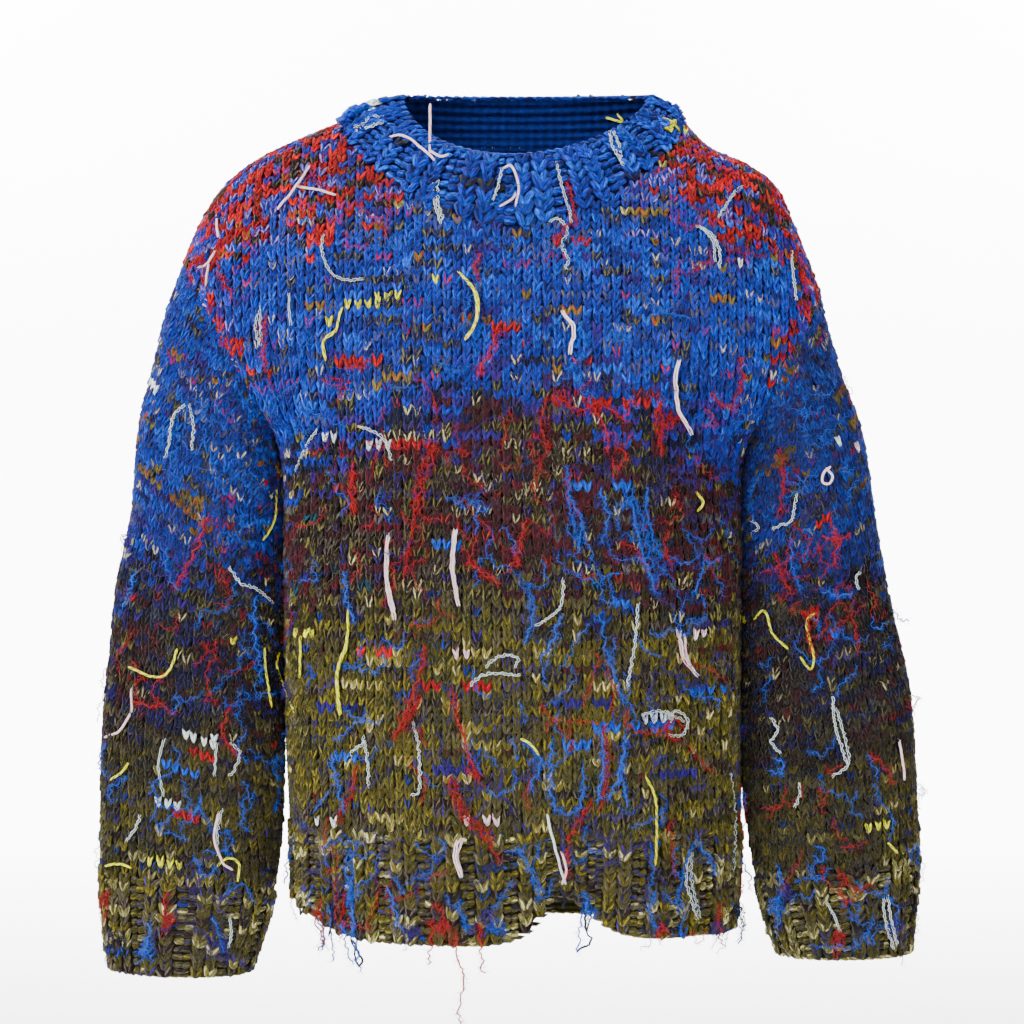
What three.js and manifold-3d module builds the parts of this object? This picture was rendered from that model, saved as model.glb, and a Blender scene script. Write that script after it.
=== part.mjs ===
// A darned wool sweater, worn on nothing: a hollow, hand-knitted pullover that keeps its worn form.
// Millimetres, +Z up, the front faces -Y. The origin is the middle of the neck at shoulder level.
import * as THREE from 'three';
import Module from 'manifold-3d';
import { mergeVertices } from 'three/addons/utils/BufferGeometryUtils.js';

// Driving dimensions
const WALL = 4;
const SEAM = 0.3;
const RIB_RAISE = 2.2;
const PANEL_FOOT = -606;
const HEM_MIDDLE = -680;
const CUFF_TOP = 0.855;
const NECK_HALF = 150;
const NECK_POINT = 4;
const NECK_DROP = { front: 97, back: 14 };
const NECK_POWER = { front: 1.5, back: 2 };
const BODY_POWER = 2.3;
const ARMHOLE_POWER = 2.6;
const ARMHOLE_DEPTH = { front: 62, back: 66 };
const BAND_HEIGHT = { front: 60, side: 24, back: 44 };
const BAND_TOP = { halfWidth: 110, middle: 12, front: -73, back: 50 };
const BAND_WALL = 5;
const BAND_SWELL = 5;
const BAND_LEAN = 0.35;
const BAND_ROUNDNESS = 1.15;
const BAND_GAP = 0.8;
const ARMHOLE_GAP = 0.4;
const ARMHOLE_LEAN = 0.25;
const YARN_LIFT = 1.05;
const HEM_YARN_LIFT = 0.4;
const YARN_STEP = 14;

// Grid steps
const ARMHOLE_STEPS = 10;
const PANEL = {
  front: { shoulder: 8, neck: 12, side: 11 },
  back: { shoulder: 8, neck: 10, side: 8 },
};
const HEM_RIBS = 14;
const CUFF_RIBS = 11;
const BAND_RIBS = 18;
const RIB_STEPS = 4;
const SLEEVE_AROUND = 2 * ARMHOLE_STEPS;
const SLEEVE_ALONG = 15;
// Points on a line before it is divided evenly, and how far off the cloth is looked for
const DENSE = 240;
const FAR = 600;

// A smooth curve through [key, value] pairs with rising keys
function through(points) {
  const last = points.length - 1;
  const slopes = points.map((point, i) => {
    const before = points[Math.max(i - 1, 0)];
    const after = points[Math.min(i + 1, last)];
    return (after[1] - before[1]) / (after[0] - before[0]);
  });
  return (key) => {
    if (key <= points[0][0]) return points[0][1];
    if (key >= points[last][0]) return points[last][1];
    let i = 0;
    while (key > points[i + 1][0]) i += 1;
    const step = points[i + 1][0] - points[i][0];
    const t = (key - points[i][0]) / step;
    const start = (1 + 2 * t) * (1 - t) ** 2 * points[i][1] + t * (1 - t) ** 2 * step * slopes[i];
    return start + t * t * (3 - 2 * t) * points[i + 1][1] + t * t * (t - 1) * step * slopes[i + 1];
  };
}

// The two sides of the body. Widths are distances from the middle, keyed by height.
const SIDES = {
  left: {
    sign: -1,
    armpit: [206, -268],
    tip: [285, -116],
    seam: through([[-710, 189], [-650, 190], [-606, 192], [-520, 196], [-400, 198], [-300, 199], [-268, 206]]),
    shoulder: through([[-116, 285], [-104, 281], [-75, 267], [-53, 252], [-33, 229], [-18, 202], [4, 150]]),
  },
  right: {
    sign: 1,
    armpit: [206, -273],
    tip: [267, -141],
    seam: through([[-710, 192], [-650, 197], [-606, 198], [-520, 198], [-400, 199], [-300, 199], [-273, 206]]),
    shoulder: through([[-141, 267], [-106, 254], [-72, 240], [-53, 231], [-35, 209], [-18, 173], [4, 150]]),
  },
};

// How far each face stands from the middle plane, by height
const DEPTH = {
  front: through([[-720, 108], [-606, 116], [-450, 119], [-300, 121], [-200, 115], [-140, 104],
    [-93, 88], [-50, 68], [-20, 50], [4, 34]]),
  back: through([[-720, 108], [-606, 114], [-400, 108], [-250, 116], [-150, 114], [-100, 106],
    [-60, 92], [-30, 76], [-10, 60], [4, 48]]),
};

// Soft troughs pressed into the cloth: a line from one end to the other, its half width and its depth.
// A negative depth is a ridge. The one between the thighs deepens towards the hem.
const FOLDS = {
  front: [
    { from: [42, -540], to: [42, -740], half: 34, depth: 34, deepens: true },
    { from: [-196, -288], to: [-118, -372], half: 15, depth: 7 },
    { from: [194, -292], to: [116, -384], half: 15, depth: 7 },
    { from: [-152, -420], to: [-143, -720], half: 17, depth: 8 },
    { from: [148, -400], to: [160, -720], half: 17, depth: 8 },
    { from: [-56, -520], to: [-52, -720], half: 30, depth: -6 },
    { from: [106, -560], to: [112, -720], half: 24, depth: -6 },
  ],
  back: [
    { from: [0, -230], to: [0, -470], half: 46, depth: 9 },
    { from: [-192, -290], to: [-100, -380], half: 16, depth: 8 },
    { from: [190, -294], to: [98, -386], half: 16, depth: 8 },
    { from: [-70, -520], to: [-74, -720], half: 22, depth: 8 },
    { from: [76, -500], to: [84, -720], half: 22, depth: 8 },
  ],
};

// The front hem rises between its two lobes and at its left corner
const HEM = {
  front: through([[-195, -668], [-168, -684], [-138, -696], [-60, -698], [4, -693], [42, -660],
    [84, -686], [120, -694], [199, -698]]),
  back: through([[-195, -668], [-150, -690], [0, -702], [199, -698]]),
};

// Sleeve outlines: distance from the middle, keyed by the share of the way from armhole to cuff end
const SLEEVES = {
  left: {
    end: [-733, -735],
    outer: through([[0, 285], [0.07, 301], [0.13, 310], [0.24, 326], [0.35, 331], [0.46, 345],
      [0.55, 351], [0.67, 357], [0.87, 358], [0.95, 354], [1, 349]]),
    inner: through([[0, 206], [0.06, 203.5], [0.14, 202.5], [0.7, 202.5], [0.82, 208], [0.9, 215],
      [0.96, 224], [1, 230]]),
  },
  right: {
    end: [-718, -720],
    outer: through([[0, 267], [0.05, 274], [0.13, 287], [0.21, 304], [0.35, 317], [0.46, 328],
      [0.6, 346], [0.75, 352], [0.85, 354], [0.95, 350], [1, 346]]),
    inner: through([[0, 206], [0.06, 203.5], [0.14, 202.5], [0.66, 203.5], [0.78, 210], [0.88, 218],
      [0.96, 228], [1, 235]]),
  },
};
const SLEEVE_DEPTH = through([[0, 64], [0.25, 60], [0.6, 52], [0.86, 45], [1, 42]]);
const SLEEVE_REACH = -14;
const SLEEVE_POWER = 2.2;
const CREASE_TURN = 0.12;
const CREASE_WIDTH = 0.035;
const CREASE_SLANT = 0.25;
// Creases where the arm bends: share of the way down, place round the sleeve in turns, depth
const ELBOW_FOLDS = [
  { along: 0.2, around: 0.36, depth: 6 },
  { along: 0.46, around: 0.3, depth: 8 },
  { along: 0.58, around: 0.2, depth: 6 },
  { along: 0.5, around: 0.72, depth: 7 },
  { along: 0.3, around: 0.66, depth: 6 },
];

const COLOURS = {
  blue: 0x1f4a9c,
  plum: 0x33264a,
  olive: 0x6b6128,
  darkOlive: 0x5c5526,
  royal: 0x1c469e,
  yellow: 0xe8dc46,
  pink: 0xeeb6c2,
  white: 0xe6eaec,
  red: 0xc8242f,
  azure: 0x2068c4,
};

function wool(colour) {
  return new THREE.MeshStandardMaterial({ color: colour, roughness: 0.95, metalness: 0 });
}

const sideOf = (x) => (x < 0 ? SIDES.left : SIDES.right);

// Distance from the middle to the edge of the body at a height
function edge(side, z) {
  if (z <= side.armpit[1]) return side.seam(z);
  if (z >= side.tip[1]) return side.shoulder(z);
  const t = (z - side.armpit[1]) / (side.tip[1] - side.armpit[1]);
  return side.armpit[0] + t * (side.tip[0] - side.armpit[0]);
}

// How far the armhole's edge stands from the middle plane, as a share of its greatest depth
function armholeShare(side, z) {
  if (z <= side.armpit[1] || z >= side.tip[1]) return 0;
  const middle = (side.armpit[1] + side.tip[1]) / 2;
  const half = (side.tip[1] - side.armpit[1]) / 2;
  return Math.sqrt(Math.max(0, 1 - ((z - middle) / half) ** 2));
}

function foldDepth(face, x, z) {
  let total = 0;
  for (const fold of FOLDS[face]) {
    const alongX = fold.to[0] - fold.from[0];
    const alongZ = fold.to[1] - fold.from[1];
    const length = Math.hypot(alongX, alongZ);
    const share = ((x - fold.from[0]) * alongX + (z - fold.from[1]) * alongZ) / length ** 2;
    const across = ((x - fold.from[0]) * alongZ - (z - fold.from[1]) * alongX) / length;
    const swell = THREE.MathUtils.smoothstep(share, 0, fold.deepens ? 1 : 0.3);
    const fade = fold.deepens ? 1 : 1 - THREE.MathUtils.smoothstep(share, 0.7, 1);
    const open = fold.to[1] < PANEL_FOOT ? 1 : fade;
    total += fold.depth * swell * open * Math.exp(-((across / fold.half) ** 2));
  }
  return total;
}

// Distance of the cloth's outer side from the middle plane
function bodyDepth(face, x, z) {
  const side = sideOf(x);
  const share = Math.min(1, Math.abs(x) / edge(side, z));
  const armhole = armholeShare(side, z);
  const atEdge = armhole * ARMHOLE_DEPTH[face];
  const round = (1 - share ** BODY_POWER) ** (1 / BODY_POWER);
  const sloped = 1 - share ** ARMHOLE_POWER;
  const profile = THREE.MathUtils.lerp(round, sloped, armhole);
  const relief = foldDepth(face, x, z) * (1 - share ** 8);
  return atEdge + (DEPTH[face](z) - atEdge) * profile - relief;
}

const towards = (face) => (face === 'front' ? -1 : 1);

function bodyPoint(face, x, z) {
  return new THREE.Vector3(x, towards(face) * (bodyDepth(face, x, z) + SEAM / 2), z);
}

function neckHeight(face, x) {
  const share = Math.min(1, Math.abs(x) / NECK_HALF);
  const power = NECK_POWER[face];
  return NECK_POINT - NECK_DROP[face] * (1 - share ** power) ** (1 / power);
}

// Evenly spaced points along a list of [x, z] points, ends included
function spaced(points, count, toSpace) {
  const places = points.map(toSpace);
  const travelled = [0];
  for (let i = 1; i < places.length; i += 1) {
    travelled.push(travelled[i - 1] + places[i].distanceTo(places[i - 1]));
  }
  const total = travelled[travelled.length - 1];
  const result = [];
  for (let k = 0; k <= count; k += 1) {
    const wanted = (total * k) / count;
    let i = 0;
    while (i < points.length - 2 && travelled[i + 1] < wanted) i += 1;
    const t = (wanted - travelled[i]) / (travelled[i + 1] - travelled[i] || 1);
    result.push([
      THREE.MathUtils.lerp(points[i][0], points[i + 1][0], t),
      THREE.MathUtils.lerp(points[i][1], points[i + 1][1], t),
    ]);
  }
  return result;
}

const range = (count) => Array.from({ length: count + 1 }, (_, i) => i / count);

// The edges of a panel, in [x, z]
function shoulderLine(side, count, face) {
  const tip = side.tip[1];
  const dense = range(DENSE).map((t) => {
    const z = tip + (NECK_POINT - tip) * t;
    return [side.sign * side.shoulder(z), z];
  });
  const even = spaced(dense, count, ([x, z]) => bodyPoint(face, x, z));
  return even.map(([, z]) => [side.sign * side.shoulder(z), z]);
}

function neckLine(face, count) {
  const dense = range(DENSE).map((t) => {
    const angle = Math.PI * (t - 0.5);
    const power = 2 / NECK_POWER[face];
    const x = NECK_HALF * Math.sign(Math.sin(angle)) * Math.abs(Math.sin(angle)) ** power;
    return [x, neckHeight(face, x)];
  });
  return spaced(dense, count, ([x, z]) => bodyPoint(face, x, z));
}

function sideLine(side, face) {
  const seam = range(PANEL[face].side).map((t) => {
    const z = PANEL_FOOT + (side.armpit[1] - PANEL_FOOT) * t;
    return [side.sign * side.seam(z), z];
  });
  const middle = (side.armpit[1] + side.tip[1]) / 2;
  const half = (side.tip[1] - side.armpit[1]) / 2;
  const rise = range(ARMHOLE_STEPS).slice(1).map((t) => {
    const z = middle - half * Math.cos(Math.PI * t);
    return [side.sign * edge(side, z), z];
  });
  return [...seam, ...rise];
}

function rowAt(face, z, count) {
  const dense = range(DENSE).map((t) => {
    const angle = Math.PI * (t - 0.5);
    const sine = Math.sin(angle);
    const side = sideOf(sine);
    return [sine * edge(side, z), z];
  });
  return spaced(dense, count, ([x]) => bodyPoint(face, x, z));
}

// A closed wall between two grids of points, outer[row][column] and inner[row][column].
// A ring's columns close on themselves. Outer faces point out with columns to the right, rows up.
function wallGeometry(outer, inner, ring) {
  const rows = outer.length;
  const columns = outer[0].length;
  const positions = [];
  const index = [];
  for (const grid of [outer, inner]) {
    for (const row of grid) for (const point of row) positions.push(point.x, point.y, point.z);
  }
  const at = (layer, row, column) => (layer * rows + row) * columns + (column % columns);
  const quad = (a, b, c, d) => index.push(a, b, c, a, c, d);
  const spans = ring ? columns : columns - 1;
  for (let row = 0; row < rows - 1; row += 1) {
    for (let column = 0; column < spans; column += 1) {
      quad(at(0, row, column), at(0, row, column + 1), at(0, row + 1, column + 1), at(0, row + 1, column));
      quad(at(1, row + 1, column), at(1, row + 1, column + 1), at(1, row, column + 1), at(1, row, column));
    }
  }
  for (let column = 0; column < spans; column += 1) {
    const top = rows - 1;
    quad(at(1, 0, column), at(1, 0, column + 1), at(0, 0, column + 1), at(0, 0, column));
    quad(at(0, top, column), at(0, top, column + 1), at(1, top, column + 1), at(1, top, column));
  }
  if (!ring) {
    const end = columns - 1;
    for (let row = 0; row < rows - 1; row += 1) {
      quad(at(0, row, 0), at(0, row + 1, 0), at(1, row + 1, 0), at(1, row, 0));
      quad(at(0, row, end), at(1, row, end), at(1, row + 1, end), at(0, row + 1, end));
    }
  }
  const geometry = new THREE.BufferGeometry();
  geometry.setAttribute('position', new THREE.Float32BufferAttribute(positions, 3));
  geometry.setIndex(index);
  geometry.computeVertexNormals();
  return geometry;
}

// Unit vectors that point out of a grid's outer side
function gridNormals(grid) {
  const pick = (row, column) => grid[Math.min(Math.max(row, 0), grid.length - 1)][
    Math.min(Math.max(column, 0), grid[0].length - 1)];
  return grid.map((points, row) => points.map((_, column) => {
    const right = pick(row, column + 1).clone().sub(pick(row, column - 1));
    const up = pick(row + 1, column).clone().sub(pick(row - 1, column));
    return right.cross(up).normalize();
  }));
}

function flatten(normal, axis) {
  const flat = normal.clone();
  flat[axis] = 0;
  return flat.normalize();
}

// The way that both cloths at an armhole run inwards, so that their edges meet face to face
function armholeInward(side, z, face) {
  const middle = (side.armpit[1] + side.tip[1]) / 2;
  const half = (side.tip[1] - side.armpit[1]) / 2;
  const cosine = THREE.MathUtils.clamp((z - middle) / half, -1, 1);
  const sine = Math.sqrt(1 - cosine * cosine);
  return new THREE.Vector3(-side.sign * ARMHOLE_LEAN * (1 + cosine), -towards(face) * sine, -cosine).normalize();
}

// Front and back panels: a grid stretched between the hem line, the side edges, shoulders and neck
function panelGrids(face) {
  const steps = PANEL[face];
  const left = sideLine(SIDES.left, face);
  const right = sideLine(SIDES.right, face);
  const leftTop = shoulderLine(SIDES.left, steps.shoulder, face);
  const rightTop = shoulderLine(SIDES.right, steps.shoulder, face).reverse();
  const top = [...leftTop, ...neckLine(face, steps.neck).slice(1, -1), ...rightTop];
  const columns = top.length - 1;
  const bottom = rowAt(face, PANEL_FOOT, columns);
  const rows = left.length - 1;
  const armpitRow = steps.side;
  const flat = [];
  for (let row = 0; row <= rows; row += 1) {
    const v = row / rows;
    flat.push(range(columns).map((u, column) => {
      const blend = (axis) => (1 - v) * bottom[column][axis] + v * top[column][axis]
        + (1 - u) * left[row][axis] + u * right[row][axis]
        - (1 - u) * (1 - v) * left[0][axis] - u * (1 - v) * right[0][axis]
        - (1 - u) * v * left[rows][axis] - u * v * right[rows][axis];
      return [blend(0), blend(1)];
    }));
  }
  const outer = flat.map((points) => points.map(([x, z]) => {
    const reach = edge(sideOf(x), z);
    return bodyPoint(face, THREE.MathUtils.clamp(x, -reach, reach), z);
  }));
  const normals = gridNormals(face === 'front' ? outer : outer.map((points) => [...points].reverse()));
  if (face === 'back') normals.forEach((row) => row.reverse());
  const inward = normals.map((points, row) => points.map((normal, column) => {
    const side = column === 0 ? SIDES.left : SIDES.right;
    const atSide = column === 0 || column === columns;
    const onShoulder = row === rows && (column <= steps.shoulder || column >= columns - steps.shoulder);
    if (onShoulder) return flatten(normal, 'y').negate().multiplyScalar(WALL);
    if (atSide && row >= armpitRow) {
      return armholeInward(side, outer[row][column].z, face).multiplyScalar(WALL);
    }
    if (atSide) return flatten(flatten(normal, 'y'), 'z').negate().multiplyScalar(WALL);
    if (row === 0) return flatten(normal, 'z').negate().multiplyScalar(WALL);
    return normal.clone().negate().multiplyScalar(WALL);
  }));
  const inner = outer.map((points, row) => points.map((point, column) => point.clone().add(inward[row][column])));
  return { outer, inner, steps, columns, rows, armpitRow };
}

function reversed(grid) {
  return grid.map((row) => [...row].reverse());
}

function faceGeometry(face, outer, inner) {
  if (face === 'front') return wallGeometry(outer, inner, false);
  return wallGeometry(reversed(outer), reversed(inner), false);
}

// Points on a closed line of matching outer and inner points, picked by a rising key
function alongLoop(entries, key) {
  let i = 0;
  while (i < entries.length - 2 && entries[i + 1].key < key) i += 1;
  const t = (key - entries[i].key) / (entries[i + 1].key - entries[i].key);
  return {
    outer: entries[i].outer.clone().lerp(entries[i + 1].outer, t),
    inner: entries[i].inner.clone().lerp(entries[i + 1].inner, t),
  };
}

// Hem ribs: raised columns over a plain inside
function ribRaise(column) {
  const step = column % RIB_STEPS;
  return step === 1 || step === 2 ? RIB_RAISE : 0;
}

function hemGrids(face) {
  const columns = HEM_RIBS * RIB_STEPS;
  const start = PANEL_FOOT - SEAM;
  const topRow = rowAt(face, start, columns);
  const outer = [];
  for (const v of range(2)) {
    outer.push(topRow.map(([x]) => {
      const share = x / edge(sideOf(x), start);
      const foot = HEM[face](share * edge(sideOf(x), HEM_MIDDLE));
      const z = foot + (start - foot) * v;
      return bodyPoint(face, share * edge(sideOf(x), z), z);
    }));
  }
  let normals = gridNormals(face === 'front' ? outer : reversed(outer));
  if (face === 'back') normals = reversed(normals);
  const level = normals.map((row) => row.map((normal, column) => {
    const atSide = column === 0 || column === columns;
    const horizontal = flatten(normal, 'z');
    return atSide ? flatten(horizontal, 'y') : horizontal;
  }));
  const inner = outer.map((row, r) => row.map((p, c) => p.clone().addScaledVector(level[r][c], -WALL)));
  const raised = outer.map((row, r) => row.map((p, c) => p.clone().addScaledVector(level[r][c], ribRaise(c))));
  return { outer: raised, inner };
}

// Sleeves: rings between an outer and an inner outline, turned from the armhole's slant to level
function sleeveRing(name, along, around, inset) {
  const side = SIDES[name];
  const sleeve = SLEEVES[name];
  const outerZ = THREE.MathUtils.lerp(side.tip[1], sleeve.end[0], along);
  const innerZ = THREE.MathUtils.lerp(side.armpit[1], sleeve.end[1], along);
  const outer = new THREE.Vector3(side.sign * sleeve.outer(along), SLEEVE_REACH * along * along, outerZ);
  const inner = new THREE.Vector3(side.sign * sleeve.inner(along), SLEEVE_REACH * along * along, innerZ);
  const middle = outer.clone().add(inner).multiplyScalar(0.5);
  const half = outer.clone().sub(inner).multiplyScalar(0.5);
  const reach = half.length() - inset;
  const depth = SLEEVE_DEPTH(along) - inset;
  const angle = around * Math.PI * 2;
  const power = 2 / THREE.MathUtils.lerp(2, SLEEVE_POWER, Math.min(1, along * 4));
  const cosine = Math.cos(angle);
  const sine = Math.sin(angle);
  let press = 0;
  for (const fold of ELBOW_FOLDS) {
    const aside = Math.abs(THREE.MathUtils.euclideanModulo(around - fold.around + 0.5, 1) - 0.5);
    const slant = along - fold.along - (around - fold.around) * CREASE_SLANT;
    press += fold.depth * Math.exp(-((aside / CREASE_TURN) ** 2) - ((slant / CREASE_WIDTH) ** 2));
  }
  return middle
    .addScaledVector(half.clone().normalize(), (reach - press) * Math.sign(cosine) * Math.abs(cosine) ** power)
    .add(new THREE.Vector3(0, -(depth - press) * Math.sign(sine) * Math.abs(sine) ** power, 0));
}

// The body's armhole edge as one loop from the shoulder, round the front, to the shoulder again
function armholeLoop(name, panels) {
  const side = SIDES[name];
  const middle = (side.armpit[1] + side.tip[1]) / 2;
  const half = (side.tip[1] - side.armpit[1]) / 2;
  const entries = [];
  for (const face of ['front', 'back']) {
    const grid = panels[face];
    const column = name === 'left' ? 0 : grid.columns;
    for (let row = grid.armpitRow; row <= grid.rows; row += 1) {
      const outer = grid.outer[row][column];
      const inner = grid.inner[row][column];
      const turn = Math.acos(THREE.MathUtils.clamp((outer.z - middle) / half, -1, 1)) / (Math.PI * 2);
      entries.push({ key: face === 'front' ? turn : 1 - turn, outer, inner });
    }
  }
  entries.sort((a, b) => a.key - b.key);
  return entries;
}

function sleeveGrids(name, panels) {
  const side = SIDES[name];
  const loop = armholeLoop(name, panels);
  const slant = new THREE.Vector3(side.sign * (side.tip[0] - side.armpit[0]), 0, side.tip[1] - side.armpit[1]);
  const away = new THREE.Vector3(side.sign * slant.z, 0, -Math.abs(slant.x)).normalize().multiplyScalar(ARMHOLE_GAP);
  const turns = range(SLEEVE_AROUND).slice(0, -1);
  const outer = [turns.map((turn) => alongLoop(loop, turn).outer.add(away))];
  const inner = [turns.map((turn) => alongLoop(loop, turn).inner.add(away))];
  for (let row = 1; row <= SLEEVE_ALONG; row += 1) {
    const along = (CUFF_TOP * row) / SLEEVE_ALONG;
    outer.push(turns.map((turn) => sleeveRing(name, along, turn, 0)));
    inner.push(turns.map((turn) => sleeveRing(name, along, turn, WALL)));
  }
  return { outer, inner };
}

function cuffGrids(name) {
  const columns = CUFF_RIBS * RIB_STEPS;
  const turns = range(columns).slice(0, -1);
  const outer = [];
  const inner = [];
  for (const v of range(2)) {
    const along = THREE.MathUtils.lerp(CUFF_TOP, 1, v);
    const drop = new THREE.Vector3(0, 0, v === 0 ? -SEAM : 0);
    outer.push(turns.map((turn, c) => sleeveRing(name, along, turn, -ribRaise(c)).add(drop)));
    inner.push(turns.map((turn) => sleeveRing(name, along, turn, WALL).add(drop)));
  }
  return { outer, inner };
}

// Rings run down the arm, so they are turned over to have their rows rise
function ringGeometry(name, grids) {
  const turn = (grid) => (name === 'left' ? [...grid] : reversed(grid));
  return wallGeometry(turn(grids.outer).reverse(), turn(grids.inner).reverse(), true);
}

// The neckband starts on the panels' neck edges and leans in towards the neck
function bandGrids(panels) {
  const entries = [];
  for (const face of ['front', 'back']) {
    const grid = panels[face];
    for (let c = grid.steps.shoulder; c <= grid.columns - grid.steps.shoulder; c += 1) {
      const outer = grid.outer[grid.rows][c];
      const inner = grid.inner[grid.rows][c];
      const turn = Math.asin(THREE.MathUtils.clamp(outer.x / NECK_HALF, -1, 1)) / (Math.PI * 2);
      entries.push({ key: face === 'front' ? turn : 0.5 - turn, outer, inner });
    }
  }
  entries.sort((a, b) => a.key - b.key);
  entries.push({ ...entries[0], key: entries[0].key + 1 });
  const columns = BAND_RIBS * RIB_STEPS;
  const turns = range(columns).slice(0, -1);
  const outer = [[], [], [], []];
  const inner = [[], [], [], []];
  turns.forEach((turn, column) => {
    const key = turn < entries[0].key ? turn + 1 : turn;
    const angle = turn * Math.PI * 2;
    const seam = alongLoop(entries, key > entries[entries.length - 1].key ? key - 1 : key);
    const ahead = Math.cos(angle) > 0;
    const depth = Math.abs(Math.cos(angle)) ** BAND_ROUNDNESS;
    const height = THREE.MathUtils.lerp(
      NECK_POINT + BAND_HEIGHT.side,
      ahead ? NECK_POINT - NECK_DROP.front + BAND_HEIGHT.front : NECK_POINT - NECK_DROP.back + BAND_HEIGHT.back,
      depth,
    );
    const top = new THREE.Vector3(
      BAND_TOP.middle * (1 - depth) * Math.abs(Math.sin(angle)) + BAND_TOP.halfWidth * Math.sin(angle),
      (ahead ? BAND_TOP.front : BAND_TOP.back) * depth,
      height,
    );
    const outwards = new THREE.Vector3(Math.sin(angle), -Math.cos(angle), BAND_LEAN).normalize();
    range(3).forEach((v, row) => {
      const swell = BAND_SWELL * Math.sin(Math.PI * v);
      const raise = v === 0 ? 0 : ribRaise(column);
      const lift = top.clone().sub(seam.outer).setLength(v === 0 ? BAND_GAP : 0);
      const within = top.clone().addScaledVector(outwards, -BAND_WALL);
      outer[row].push(seam.outer.clone().lerp(top, v).addScaledVector(outwards, swell + raise).add(lift));
      inner[row].push(seam.inner.clone().lerp(within, v).addScaledVector(outwards, swell).add(lift));
    });
  });
  return { outer, inner };
}

// Darned rows and hanging yarn ends
const ENDS = [
  { name: 'ends_yellow_chest', on: 'front', colour: COLOURS.yellow, thick: 1.2,
    row: [[-143, -163], [-129, -161], [-90, -148], [-46, -133]],
    strands: [[[-143, -163], [-149, -184], [-159, -192], [-157, -208]],
      [[-46, -133], [-32, -150], [-30, -175], [-39, -191]]] },
  { name: 'ends_white_shoulder', on: 'front', colour: COLOURS.white, thick: 1.2,
    row: [[-222, -160], [-205, -154], [-180, -146]],
    strands: [[[-215, -158], [-214, -195]], [[-190, -149], [-188, -178]]] },
  { name: 'ends_red_chest', on: 'front', colour: COLOURS.red, thick: 1.1,
    row: [[24, -236], [64, -246], [126, -240]],
    strands: [[[30, -237], [24, -262], [32, -285]], [[66, -246], [78, -266], [80, -286]],
      [[124, -240], [126, -264], [126, -289]]] },
  { name: 'ends_red_middle', on: 'front', colour: COLOURS.red, thick: 1.1,
    row: [[-135, -290], [-100, -282], [-62, -276]],
    strands: [[[-64, -276], [-78, -305], [-82, -334]], [[-134, -290], [-133, -334]]] },
  { name: 'ends_pink_middle', on: 'front', colour: COLOURS.pink, thick: 1.2,
    row: [[-106, -352], [-80, -350], [-47, -348]],
    strands: [[[-48, -348], [-51, -380], [-46, -412]], [[-105, -352], [-106, -390], [-100, -420]]] },
  { name: 'ends_blue_middle', on: 'front', colour: COLOURS.azure, thick: 1.1,
    row: [[44, -308], [75, -314], [102, -318]],
    strands: [[[46, -308], [49, -335], [57, -366]], [[74, -314], [80, -340], [76, -362]],
      [[100, -318], [112, -350], [120, -400]]] },
  { name: 'ends_yellow_waist', on: 'front', colour: COLOURS.yellow, thick: 1.2,
    row: [[-182, -440], [-160, -430], [-137, -426]],
    strands: [[[-138, -426], [-140, -450], [-148, -474], [-145, -507]], [[-181, -440], [-182, -478]]] },
  { name: 'ends_red_waist', on: 'front', colour: COLOURS.red, thick: 1.1,
    row: [[-78, -486], [-50, -480], [-20, -484]],
    strands: [[[-76, -486], [-87, -506], [-100, -525]], [[-52, -480], [-42, -520], [-28, -560]]] },
  { name: 'ends_blue_waist', on: 'front', colour: COLOURS.azure, thick: 1.1,
    row: [[70, -516], [95, -520], [130, -514]],
    strands: [[[74, -517], [76, -548], [72, -580]], [[96, -520], [92, -552], [98, -584]]] },
  { name: 'ends_hem_front', on: 'hem_rib_front', colour: COLOURS.red, thick: 1.1, clear: HEM_YARN_LIFT,
    row: [[-70, -676], [-48, -678], [-24, -678]],
    strands: [[[-48, -678], [-46, -706], [-40, -728], [-45, -752], [-41, -776], [-44, -798]],
      [[-66, -676], [-70, -716]], [[-28, -678], [-24, -722]]] },
  { name: 'ends_hem_corner', on: 'hem_rib_front', colour: COLOURS.azure, thick: 1.1, clear: HEM_YARN_LIFT,
    row: [[-158, -668], [-140, -672], [-124, -674]],
    strands: [[[-156, -668], [-152, -719]], [[-136, -673], [-129, -726]]] },
  { name: 'ends_red_back', on: 'back', colour: COLOURS.red, thick: 1.1,
    row: [[-70, -200], [-30, -206], [20, -202]],
    strands: [[[-68, -200], [-74, -250]], [[-30, -206], [-22, -246], [-28, -280]], [[18, -202], [26, -244]]] },
  { name: 'ends_blue_back', on: 'back', colour: COLOURS.azure, thick: 1.1,
    row: [[50, -380], [85, -376], [120, -382]],
    strands: [[[52, -380], [46, -440]], [[86, -376], [92, -428]], [[118, -382], [112, -450]]] },
  { name: 'ends_white_back', on: 'back', colour: COLOURS.white, thick: 1.2,
    row: [[-120, -470], [-90, -466], [-56, -472]],
    strands: [[[-118, -470], [-124, -520]], [[-58, -472], [-50, -516], [-56, -540]]] },
  { name: 'ends_sleeve_left', on: 'sleeve_left', colour: COLOURS.white, thick: 1.2,
    row: [[-300, -526], [-275, -530], [-252, -534]],
    strands: [[[-298, -526], [-304, -552], [-300, -580]], [[-254, -534], [-256, -563]]] },
  { name: 'ends_sleeve_right', on: 'sleeve_right', colour: COLOURS.red, thick: 1.1,
    row: [[252, -420], [272, -424], [296, -420]],
    strands: [[[256, -421], [254, -440], [260, -461]], [[292, -420], [298, -456]]] },
];

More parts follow.
